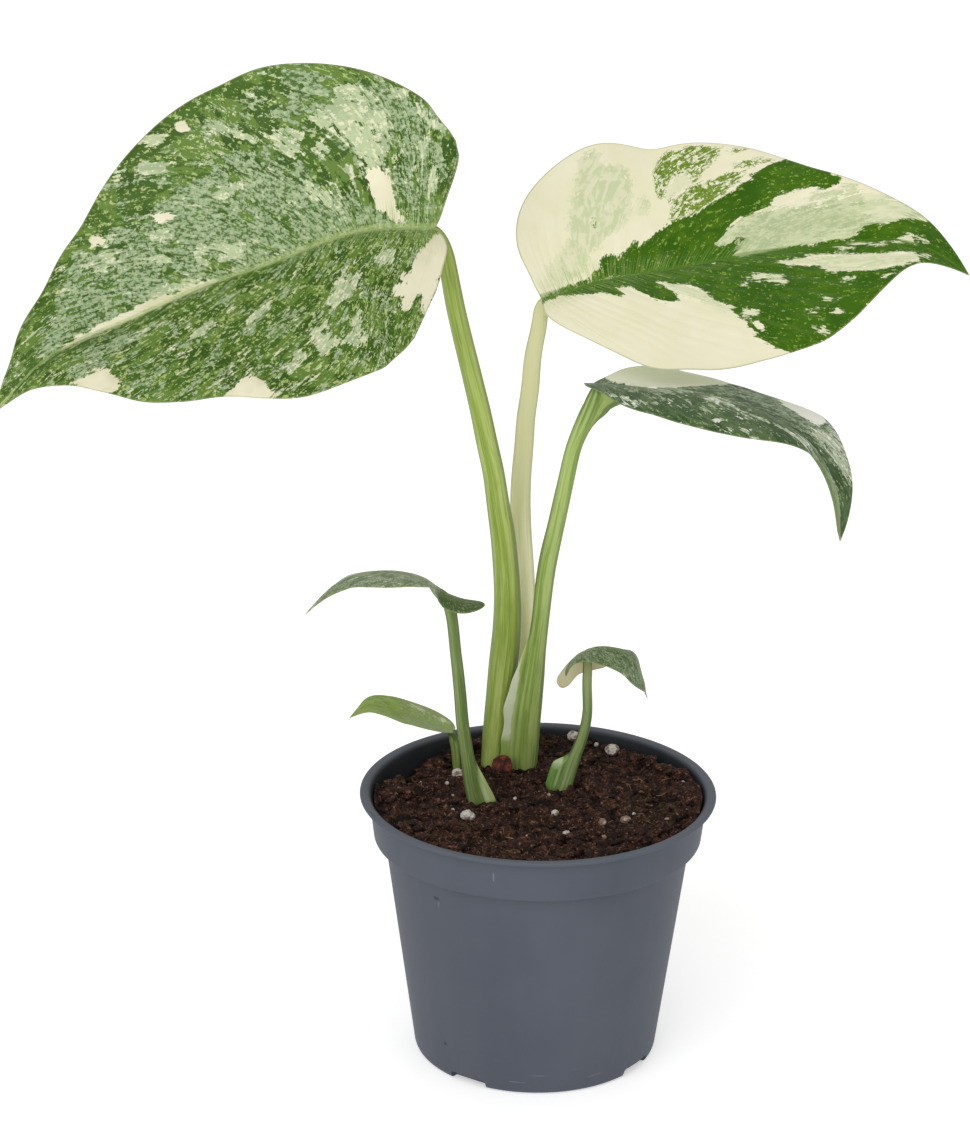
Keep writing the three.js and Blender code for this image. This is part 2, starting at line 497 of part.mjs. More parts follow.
// ---- soil surface: gently uneven, higher along the wall at the back, right and far left, with a pit at the back left.
// WALL: angle from the front (degrees, positive towards +X) and soil height at the wall ----
const WALL = [[-180, 90.8], [-156, 91.2], [-141, 88], [-131, 84.9], [-123, 80.8], [-117, 81.6], [-110, 85.7], [-97, 91.4], [-80, 91], [-60, 90.4], [-30, 90], [0, 90], [30, 90], [60, 90.5], [90, 91.8], [105, 91.6], [115, 92], [125, 90.3], [132, 88.4], [140, 88.9], [155, 89.8], [165, 91.3], [180, 90.8]];
const soilHeight = (x, y) => {
  const r = Math.hypot(x, y), phi = (Math.atan2(x, -y) * 180) / Math.PI;
  let i = 0;
  while (i < WALL.length - 2 && phi >= WALL[i + 1][0]) i++;
  const w = WALL[i][1] + ((WALL[i + 1][1] - WALL[i][1]) * (phi - WALL[i][0])) / (WALL[i + 1][0] - WALL[i][0]);
  const z = SOIL.middle + 0.45 * Math.sin(x * 0.23 + 1.1) * Math.cos(y * 0.19 - 0.6) + 0.3 * Math.sin(x * 0.41 - y * 0.37 + 2.0);
  return z + (w - SOIL.middle) * smooth(38, 54, r);
};
function soilGeometry() {
  const inner = potInner(GAP);
  const segs = 36;
  const rTop = (z) => inner[3][0] + ((inner[4][0] - inner[3][0]) * (z - inner[3][1])) / (inner[4][1] - inner[3][1]);
  const pos = [], index = [];
  const ring = (r, zf) => {
    const start = pos.length / 3;
    for (let k = 0; k < segs; k++) {
      const a = (2 * Math.PI * k) / segs, x = r * Math.cos(a), y = r * Math.sin(a);
      pos.push(x, y, zf(x, y));
    }
    return start;
  };
  const rows = [];
  for (const r of [9, 18, 27, 36, 42, 48]) rows.push(ring(r, soilHeight));
  const rim = pos.length / 3; // the soil meets the wall
  for (let k = 0; k < segs; k++) {
    const a = (2 * Math.PI * k) / segs, z = soilHeight(54 * Math.cos(a), 54 * Math.sin(a)), r = rTop(z) - 0.05;
    pos.push(r * Math.cos(a), r * Math.sin(a), z);
  }
  rows.push(rim);
  for (const [r, z] of [inner[3], inner[2], inner[1], inner[0]]) rows.push(ring(r, () => (z < 5 ? z + SOIL.bottom - POT.floor - GAP : z)));
  for (let i = 0; i + 1 < rows.length; i++)
    for (let k = 0; k < segs; k++) {
      const a = rows[i] + k, b = rows[i] + ((k + 1) % segs), c = rows[i + 1] + k, e = rows[i + 1] + ((k + 1) % segs);
      index.push(a, c, e, a, e, b);
    }
  const top = pos.length / 3;
  pos.push(0, 0, soilHeight(0, 0), 0, 0, SOIL.bottom);
  const last = rows[rows.length - 1];
  for (let k = 0; k < segs; k++) index.push(top, rows[0] + k, rows[0] + ((k + 1) % segs), top + 1, last + ((k + 1) % segs), last + k);
  return closed(pos, index);
}

// ---- grains and the bark chip ----
const GRAINS = [
  [-23.3, -12.0, 2.30, 1.0],
  [-27.6, 23.2, 2.00, 2.1],
  [12.1, 50.1, 2.10, 3.3],
  [25.6, 43.1, 2.40, 4.0],
  [29.5, -13.1, 1.70, 5.2],
  [21.5, -15.5, 1.50, 6.1],
  [9.5, -26.0, 1.30, 7.4],
  [5.8, -9.1, 1.25, 8.2],
];
function grainGeometry([x, y, r, seed], grow = 0) {
  const g = weld(new THREE.IcosahedronGeometry(1, 1));
  const p = g.attributes.position;
  for (let i = 0; i < p.count; i++) {
    const v = new THREE.Vector3().fromBufferAttribute(p, i);
    const k = 1 + 0.14 * Math.sin(5 * v.x + seed) + 0.12 * Math.cos(4 * v.y - 2 * seed) + 0.1 * Math.sin(6 * v.z + 3 * seed);
    v.multiplyScalar(r * k + grow);
    v.z *= 0.85;
    p.setXYZ(i, v.x + x, v.y + y, v.z + soilHeight(x, y) + r * 0.25);
  }
  return weld(g);
}
const CHIP = { at: [-12.6, 24.6, 91.0], size: [7.8, 2.4, 7.4], tilt: [-38, 8, -8] };
function chipGeometry(grow = 0) {
  const [w, d, h] = CHIP.size;
  const s = new THREE.Shape();
  const o = [[-0.5, -0.36], [-0.1, -0.5], [0.38, -0.42], [0.5, 0.05], [0.3, 0.45], [-0.2, 0.5], [-0.5, 0.22]];
  o.forEach(([x, y], i) => {
    const q = [x * w + Math.sign(x) * grow, y * h + Math.sign(y) * grow];
    if (i) s.lineTo(...q);
    else s.moveTo(...q);
  });
  s.closePath();
  const g = new THREE.ExtrudeGeometry(s, { depth: d + 2 * grow, bevelEnabled: false, steps: 1 });
  g.translate(0, 0, -d / 2 - grow);
  g.rotateX(rad(90));
  g.rotateX(rad(CHIP.tilt[0])).rotateY(rad(CHIP.tilt[1])).rotateZ(rad(CHIP.tilt[2]));
  g.translate(...CHIP.at);
  return weld(g);
}

// ---- assemble ----
const root = new THREE.Group();
root.name = 'potted_monstera';
const potGroup = new THREE.Group(), plant = new THREE.Group();
root.add(potGroup, plant);
function put(group, name, geometry, color, roughness) {
  geometry.computeVertexNormals();
  const m = new THREE.Mesh(geometry, new THREE.MeshStandardMaterial({ color, roughness, metalness: 0 }));
  m.name = name;
  group.add(m);
}

const DETAIL = {
  left_large: { rows: 14, fan: 6, cols: 5 },
  right_large: { rows: 14, fan: 6, cols: 5 },
  right_drooping: { rows: 13, fan: 5, cols: 5 },
  left_small_upper: { rows: 11, fan: 5, cols: 3 },
  left_small_lower: { rows: 8, fan: 3, cols: 2 },
  right_small: { rows: 9, fan: 5, cols: 3 },
};
const LOOK = {
  left_large: C.green, right_large: C.cream, right_drooping: C.grey, left_small_upper: C.grey, left_small_lower: C.lime, right_small: C.grey,
};

let soil = solid(soilGeometry());
for (const [name, s] of Object.entries(STEMS)) {
  put(plant, `stem_${name}`, stemGeometry(s), C.stem, 0.6);
  soil = soil.subtract(solid(stemGeometry(s, GAP)));
}
for (const [name, d] of Object.entries(PLANT)) {
  const big = d.kl > 20;
  const opt = { ...DETAIL[name], thick: big ? BLADE.thick : BLADE.thickSmall, rib: big ? BLADE.rib : BLADE.rib * 0.6 };
  put(plant, `leaf_${name}`, bladeGeometry(d, opt), LOOK[name], 0.45);

  // the stalk stands on its stem, and ends under the blade, cut to the blade's underside
  const stem = STEMS[STANDS_ON[name]];
  const path = d.stalk.map((p) => p.slice());
  const radii = d.stalk_r.slice();
  while (path.length > 3 && path[1][2] < stem.top + 3) {
    path.shift();
    radii.shift();
  }
  const slope = (stem.top + GAP - path[0][2]) / (path[1][2] - path[0][2]);
  path[0] = path[0].map((v, k) => v + (path[1][k] - v) * slope);
  const S = new Surface(d), f = S.frame(0);
  path.push(f.P.toArray());
  radii.push(radii[radii.length - 1] * (d.tip_r || 0.95));
  const so = { sides: big ? 9 : 8, step: big ? 13 : 7, wing: WINGS[name] || null };
  let stalk = solid(stalkGeometry(path, radii, so));
  const cap = new THREE.BoxGeometry(20, 20, 14);
  cap.translate(0, 0, 7);
  cap.applyQuaternion(new THREE.Quaternion().setFromUnitVectors(new THREE.Vector3(0, 0, 1), f.N));
  cap.translate(...f.P.clone().addScaledVector(f.N, -(opt.thick / 2 + opt.rib + GAP + (DROP[name] || 0))).toArray());
  stalk = stalk.subtract(solid(cap)).subtract(solid(stemGeometry(stem, GAP)));
  put(plant, `petiole_${name}`, fromSolid(stalk), name === 'right_large' ? C.pale : C.stalk, 0.5);
  soil = soil.subtract(solid(stalkGeometry(path, radii, { ...so, grow: GAP })));
}
put(potGroup, 'pot', potGeometry(), C.pot, 0.55);
put(potGroup, 'bark_chip', chipGeometry(), C.bark, 0.85);
soil = soil.subtract(solid(chipGeometry(GAP)));
GRAINS.forEach((g, i) => {
  put(potGroup, `perlite_${i + 1}`, grainGeometry(g), C.perlite, 0.9);
  soil = soil.subtract(solid(grainGeometry(g, GAP)));
});
put(potGroup, 'soil', fromSolid(soil), C.soil, 0.95);

export default root;
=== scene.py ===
import math

import bmesh
import bpy
import numpy as np
from mathutils import Matrix, Vector


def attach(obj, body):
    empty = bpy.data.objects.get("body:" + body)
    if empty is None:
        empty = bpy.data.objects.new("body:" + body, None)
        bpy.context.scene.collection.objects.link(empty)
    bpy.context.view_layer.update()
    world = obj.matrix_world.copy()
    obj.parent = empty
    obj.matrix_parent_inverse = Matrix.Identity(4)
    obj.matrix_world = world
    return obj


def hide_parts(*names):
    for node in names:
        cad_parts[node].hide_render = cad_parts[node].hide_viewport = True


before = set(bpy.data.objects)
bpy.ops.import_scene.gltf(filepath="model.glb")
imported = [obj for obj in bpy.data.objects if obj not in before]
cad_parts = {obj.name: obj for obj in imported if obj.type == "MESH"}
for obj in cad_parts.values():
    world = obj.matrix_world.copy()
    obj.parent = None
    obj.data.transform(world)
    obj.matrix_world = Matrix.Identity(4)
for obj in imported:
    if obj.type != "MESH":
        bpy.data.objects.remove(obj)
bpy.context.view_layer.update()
MM = 0.001


# ------------------------------------------------------------------ colours
def lin(r, g, b):
    """sRGB 0..255 to linear RGBA"""
    out = []
    for v in (r, g, b):
        v = v / 255.0
        out.append(v / 12.92 if v <= 0.04045 else ((v + 0.055) / 1.055) ** 2.4)
    return (*out, 1.0)


# ------------------------------------------------------------------ small maths
def smooth(a, b, x):
    u = np.clip((np.asarray(x, float) - a) / (b - a), 0, 1)
    return u * u * (3 - 2 * u)


def chord(P):
    P = np.asarray(P, float)
    return np.r_[0, np.cumsum(np.linalg.norm(np.diff(P, axis=0), axis=1))]


def natcubic(t, P):
    """natural cubic spline; f(x) and its slope f(x, 1)"""
    t = np.asarray(t, float)
    P = np.asarray(P, float)
    n = len(t)
    h = np.diff(t)
    A = np.eye(n)
    B = np.zeros_like(P)
    for i in range(1, n - 1):
        A[i, i - 1] = h[i - 1]
        A[i, i] = 2 * (h[i - 1] + h[i])
        A[i, i + 1] = h[i]
        B[i] = 6 * ((P[i + 1] - P[i]) / h[i] - (P[i] - P[i - 1]) / h[i - 1])
    m = np.linalg.solve(A, B)

    def f(x, d=0):
        x = np.asarray(x, float)
        i = np.clip(np.searchsorted(t, x, side="right") - 1, 0, n - 2)
        hi = h[i][..., None]
        a = (t[i + 1] - x)[..., None] / hi
        b = (x - t[i])[..., None] / hi
        if d == 0:
            return a * P[i] + b * P[i + 1] + ((a**3 - a) * m[i] + (b**3 - b) * m[i + 1]) * hi * hi / 6
        return (P[i + 1] - P[i]) / hi + ((1 - 3 * a * a) * m[i] + (3 * b * b - 1) * m[i + 1]) * hi / 6

    return f


def pchip(t, v):
    """monotone cubic through (t, v), held at its ends"""
    t = np.asarray(t, float)
    v = np.asarray(v, float)
    n = len(t)
    h = np.diff(t)
    s = np.diff(v) / h
    d = np.zeros(n)
    for i in range(1, n - 1):
        if s[i - 1] * s[i] > 0:
            w1 = 2 * h[i] + h[i - 1]
            w2 = h[i] + 2 * h[i - 1]
            d[i] = (w1 + w2) / (w1 / s[i - 1] + w2 / s[i])
    d[0] = s[0]
    d[-1] = s[-1]

    def f(x):
        x = np.clip(np.asarray(x, float), t[0], t[-1])
        i = np.clip(np.searchsorted(t, x, side="right") - 1, 0, n - 2)
        u = (x - t[i]) / h[i]
        return (1 + 2 * u) * (1 - u) ** 2 * v[i] + u * (1 - u) ** 2 * h[i] * d[i] + u * u * (3 - 2 * u) * v[i + 1] + u * u * (u - 1) * h[i] * d[i + 1]

    return f


def hash01(i, j, k, seed):
    """one repeatable number in 0..1 per lattice point"""
    n = (i.astype(np.int64) * 73856093) ^ (j.astype(np.int64) * 19349663) ^ (k.astype(np.int64) * 83492791) ^ (seed * 2654435761)
    n = (n ^ (n >> 13)) * 1274126177
    n = n ^ (n >> 16)
    return (n & 0xFFFFFF) / float(0xFFFFFF)


def vnoise(p, seed=0):
    """smooth value noise, -1..1, at points p (n, 3)"""
    p = np.asarray(p, float)
    i = np.floor(p).astype(np.int64)
    f = p - i
    f = f * f * f * (f * (f * 6 - 15) + 10)
    out = 0
    for dx in (0, 1):
        for dy in (0, 1):
            for dz in (0, 1):
                w = np.where(dx, f[..., 0], 1 - f[..., 0]) * np.where(dy, f[..., 1], 1 - f[..., 1]) * np.where(dz, f[..., 2], 1 - f[..., 2])
                out = out + w * hash01(i[..., 0] + dx, i[..., 1] + dy, i[..., 2] + dz, seed)
    return out * 2 - 1


def fbm(p, octaves=4, gain=0.5, seed=0):
    p = np.asarray(p, float)
    out, a, s = 0, 1.0, 0.0
    for o in range(octaves):
        out = out + a * vnoise(p * (2.03**o) + 17.3 * o, seed + o)
        s += a
        a *= gain
    return out / s


def cells(p, seed=0):
    """distance to the nearest scattered point, in cells, at points p (n, 3)"""
    p = np.asarray(p, float)
    i = np.floor(p).astype(np.int64)
    best = np.full(p.shape[:-1], 9.0)
    for dx in (-1, 0, 1):
        for dy in (-1, 0, 1):
            for dz in (-1, 0, 1):
                c = i + np.array([dx, dy, dz])
                q = np.stack([hash01(c[..., 0], c[..., 1], c[..., 2], seed + k) for k in (11, 12, 13)], -1)
                best = np.minimum(best, np.linalg.norm(c + q - p, axis=-1))
    return best


def poly_distance(P, poly):
    """signed distance of points P (n, 2) to a closed outline, positive inside"""
    poly = np.asarray(poly, float)
    Q = np.roll(poly, -1, axis=0)
    d = np.full(len(P), 1e9)
    inside = np.zeros(len(P), bool)
    for a, b in zip(poly, Q):
        e = b - a
        w = P - a
        t = np.clip((w @ e) / max(e @ e, 1e-9), 0, 1)
        d = np.minimum(d, np.hypot(*(w - t[:, None] * e).T))
        c = (a[1] > P[:, 1]) != (b[1] > P[:, 1])
        x = (b[0] - a[0]) * (P[:, 1] - a[1]) / (b[1] - a[1] if b[1] != a[1] else 1e-9) + a[0]
        inside ^= c & (P[:, 0] < x)
    return np.where(inside, d, -d)


# ------------------------------------------------------------------ meshes
def make_mesh(name, co, quads=None, tris=None, attrs=None, uv=None, mats=(), face_mat=None, flip=None, smooth_faces=True):
    """a mesh object from arrays in millimetres; faces are turned outwards"""
    quads = np.zeros((0, 4), np.int64) if quads is None or len(quads) == 0 else np.asarray(quads)
    tris = np.zeros((0, 3), np.int64) if tris is None or len(tris) == 0 else np.asarray(tris)
    co = np.asarray(co, float)
    t = np.concatenate([quads[:, [0, 1, 2]], quads[:, [0, 2, 3]], tris])
    c = co - co.mean(0)
    vol = np.einsum("ij,ij->i", c[t[:, 0]], np.cross(c[t[:, 1]], c[t[:, 2]])).sum()
    if (vol < 0) if flip is None else flip:
        quads = quads[:, ::-1]
        tris = tris[:, ::-1]
        if uv is not None:
            nq = len(quads) * 4
            uv = np.concatenate([uv[:nq].reshape(-1, 4, 2)[:, ::-1].reshape(-1, 2), uv[nq:].reshape(-1, 3, 2)[:, ::-1].reshape(-1, 2)])
    me = bpy.data.meshes.new(name)
    me.vertices.add(len(co))
    me.vertices.foreach_set("co", (co * MM).astype(np.float32).ravel())
    loops = np.concatenate([quads.ravel(), tris.ravel()]).astype(np.int32)
    me.loops.add(len(loops))
    me.loops.foreach_set("vertex_index", loops)
    nq, nt = len(quads), len(tris)
    me.polygons.add(nq + nt)
    me.polygons.foreach_set("loop_start", np.concatenate([np.arange(nq) * 4, nq * 4 + np.arange(nt) * 3]).astype(np.int32))
    me.polygons.foreach_set("use_smooth", np.full(nq + nt, smooth_faces))
    if face_mat is not None:
        me.polygons.foreach_set("material_index", np.asarray(face_mat, np.int32))
    me.update(calc_edges=True)
    if uv is not None:
        me.uv_layers.new(name="OFBake").data.foreach_set("uv", np.asarray(uv, np.float32).ravel())
    for key, v in (attrs or {}).items():
        v = np.asarray(v, np.float32)
        if v.ndim == 1:
            me.attributes.new(key, "FLOAT", "POINT").data.foreach_set("value", v)
        else:
            me.attributes.new(key, "FLOAT_VECTOR", "POINT").data.foreach_set("vector", v.ravel())
    for m in mats:
        me.materials.append(m)
    ob = bpy.data.objects.new(name, me)
    bpy.context.scene.collection.objects.link(ob)
    return ob


def piece(ob, slot, *nodes):
    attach(ob, "root")
    if nodes:
        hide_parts(*nodes)
    return ob


def tube(path, radii, sides, step, section=None, z_angles=None, cap=0.6, level=0.0):
    """rings along a smooth path. section(theta, s, centres) gives the radius of each ring's points. Returns
    co, quads, tris, attributes (around, along)"""
    t = chord(path)
    c = natcubic(t, path)
    R = pchip(t, radii)
    total = t[-1]
    n = max(6, int(round(total / step)))
    s = total * np.arange(n + 1) / n
    Pc = c(s)
    T = c(s, 1)
    T /= np.linalg.norm(T, axis=1, keepdims=True)
    if level:
        # the last rings lie level, so that the end meets a level surface
        kk = smooth(total - level, total - level * 0.4, s)[:, None]
        T = T * (1 - kk) + np.array([0, 0, 1.0]) * kk
        T /= np.linalg.norm(T, axis=1, keepdims=True)
    e1 = np.array([1.0, 0, 0]) - T * T[:, :1]
    e1 /= np.linalg.norm(e1, axis=1, keepdims=True)
    e2 = np.cross(T, e1)
    a = np.radians(np.arange(sides) * 360.0 / sides if z_angles is None else np.asarray(z_angles, float))
    m = len(a)
    r = R(s)[:, None] * np.ones(m)
    if section is not None:
        r = section(np.degrees(a)[None, :], s[:, None], Pc, r)
    co = Pc[:, None] + r[..., None] * (np.cos(a)[None, :, None] * e1[:, None] + np.sin(a)[None, :, None] * e2[:, None])
    rings = [co[i] for i in range(n + 1)]
    along = [np.full(m, v) for v in s]
    # rounded ends
    for end, ring, sign in ((0, co[0], -1), (n, co[n], 1)):
        extra = []
        for k, f in enumerate((0.75, 0.4)):
            up = sign * T[end] * R(s[end]) * cap * (0.55, 0.9)[k]
            extra.append(Pc[end] + (ring - Pc[end]) * f + up)
        if end == 0:
            rings = extra[::-1] + rings
            along = [np.full(m, s[0])] * 2 + along
        else:
            rings = rings + extra
            along = along + [np.full(m, s[n])] * 2
    allco = np.concatenate(rings + [[Pc[0] - T[0] * R(0) * cap], [Pc[n] + T[n] * R(total) * cap]])
    k = len(rings)
    q = []
    idx = np.arange(m)
    for i in range(k - 1):
        q.append(np.stack([i * m + idx, i * m + (idx + 1) % m, (i + 1) * m + (idx + 1) % m, (i + 1) * m + idx], 1))
    lo, hi = k * m, k * m + 1
    tr = np.concatenate([np.stack([np.full(m, lo), (idx + 1) % m, idx], 1), np.stack([np.full(m, hi), (k - 1) * m + idx, (k - 1) * m + (idx + 1) % m], 1)])
    al = np.concatenate(along + [[s[0]], [total]])
    ar = np.concatenate([np.tile(np.degrees(a), k), [0, 0]])
    return allco, np.concatenate(q), tr, ar, al


# ------------------------------------------------------------------ shader graphs
class Graph:
    def __init__(self, name):
        self.m = bpy.data.materials.new(name)
        self.m.use_nodes = True
        self.t = self.m.node_tree
        self.t.nodes.clear()
        self.out = self.t.nodes.new("ShaderNodeOutputMaterial")

    def add(self, kind, inputs=None, **props):
        n = self.t.nodes.new(kind)
        for k, v in props.items():
            setattr(n, k, v)
        for k, v in (inputs or {}).items():
            self.put(n.inputs[k], v)
        return n

    def put(self, socket, v):
        if isinstance(v, bpy.types.NodeSocket):
            self.t.links.new(v, socket)
        elif v is not None:
            socket.default_value = v

    def attr(self, name, out="Fac"):
        return self.add("ShaderNodeAttribute", attribute_type="GEOMETRY", attribute_name=name).outputs[out]

    def math(self, op, a, b=None, c=None, clamp=False):
        n = self.add("ShaderNodeMath", operation=op, use_clamp=clamp)
        for i, v in enumerate((a, b, c)):
            if v is not None:
                self.put(n.inputs[i], v)
        return n.outputs[0]

    def sum(self, *terms):
        out = terms[0]
        for t in terms[1:]:
            out = self.math("ADD", out, t)
        return out

    def scaled(self, vec, x, y, z, off=(0, 0, 0)):
        n = self.add("ShaderNodeMapping", {"Vector": vec, "Scale": (x, y, z), "Location": off})
        return n.outputs[0]

    def noise(self, vec, scale, detail=2.0, rough=0.5, dist=0.0, out="Fac"):
        n = self.add("ShaderNodeTexNoise", {"Vector": vec, "Scale": scale, "Detail": detail, "Roughness": rough, "Distortion": dist})
        return n.outputs[out]

    def voronoi(self, vec, scale, feature="F1", out="Distance", rand=1.0):
        n = self.add("ShaderNodeTexVoronoi", {"Vector": vec, "Scale": scale, "Randomness": rand}, feature=feature)
        return n.outputs[out]

    def rng(self, v, a, b, c=0.0, d=1.0, kind="SMOOTHSTEP"):
        n = self.add("ShaderNodeMapRange", {0: v, 1: a, 2: b, 3: c, 4: d}, interpolation_type=kind, clamp=True)
        return n.outputs[0]

    def mix(self, fac, a, b, mode="MIX"):
        n = self.add("ShaderNodeMix", data_type="RGBA", blend_type=mode)
        self.put(n.inputs[0], fac)
        self.put(n.inputs[6], a)
        self.put(n.inputs[7], b)
        return n.outputs[2]

    def ramp(self, fac, stops, kind="LINEAR"):
        n = self.add("ShaderNodeValToRGB", {"Fac": fac})
        n.color_ramp.interpolation = kind
        e = n.color_ramp.elements
        while len(e) < len(stops):
            e.new(0.5)
        for i, (p, c) in enumerate(stops):
            e[i].position = p
            e[i].color = c
        return n.outputs["Color"]

    def bump(self, height, strength, distance, normal=None):
        i = {"Height": height, "Strength": strength, "Distance": distance}
        if normal is not None:
            i["Normal"] = normal
        return self.add("ShaderNodeBump", i).outputs[0]

    def finish(self, color, rough, normal=None, **principled):
        i = {"Base Color": color, "Roughness": rough}
        if normal is not None:
            i["Normal"] = normal
        for k, v in principled.items():
            i[k.replace("_", " ")] = v
        b = self.add("ShaderNodeBsdfPrincipled", i)
        self.t.links.new(b.outputs[0], self.out.inputs[0])
        return self.m


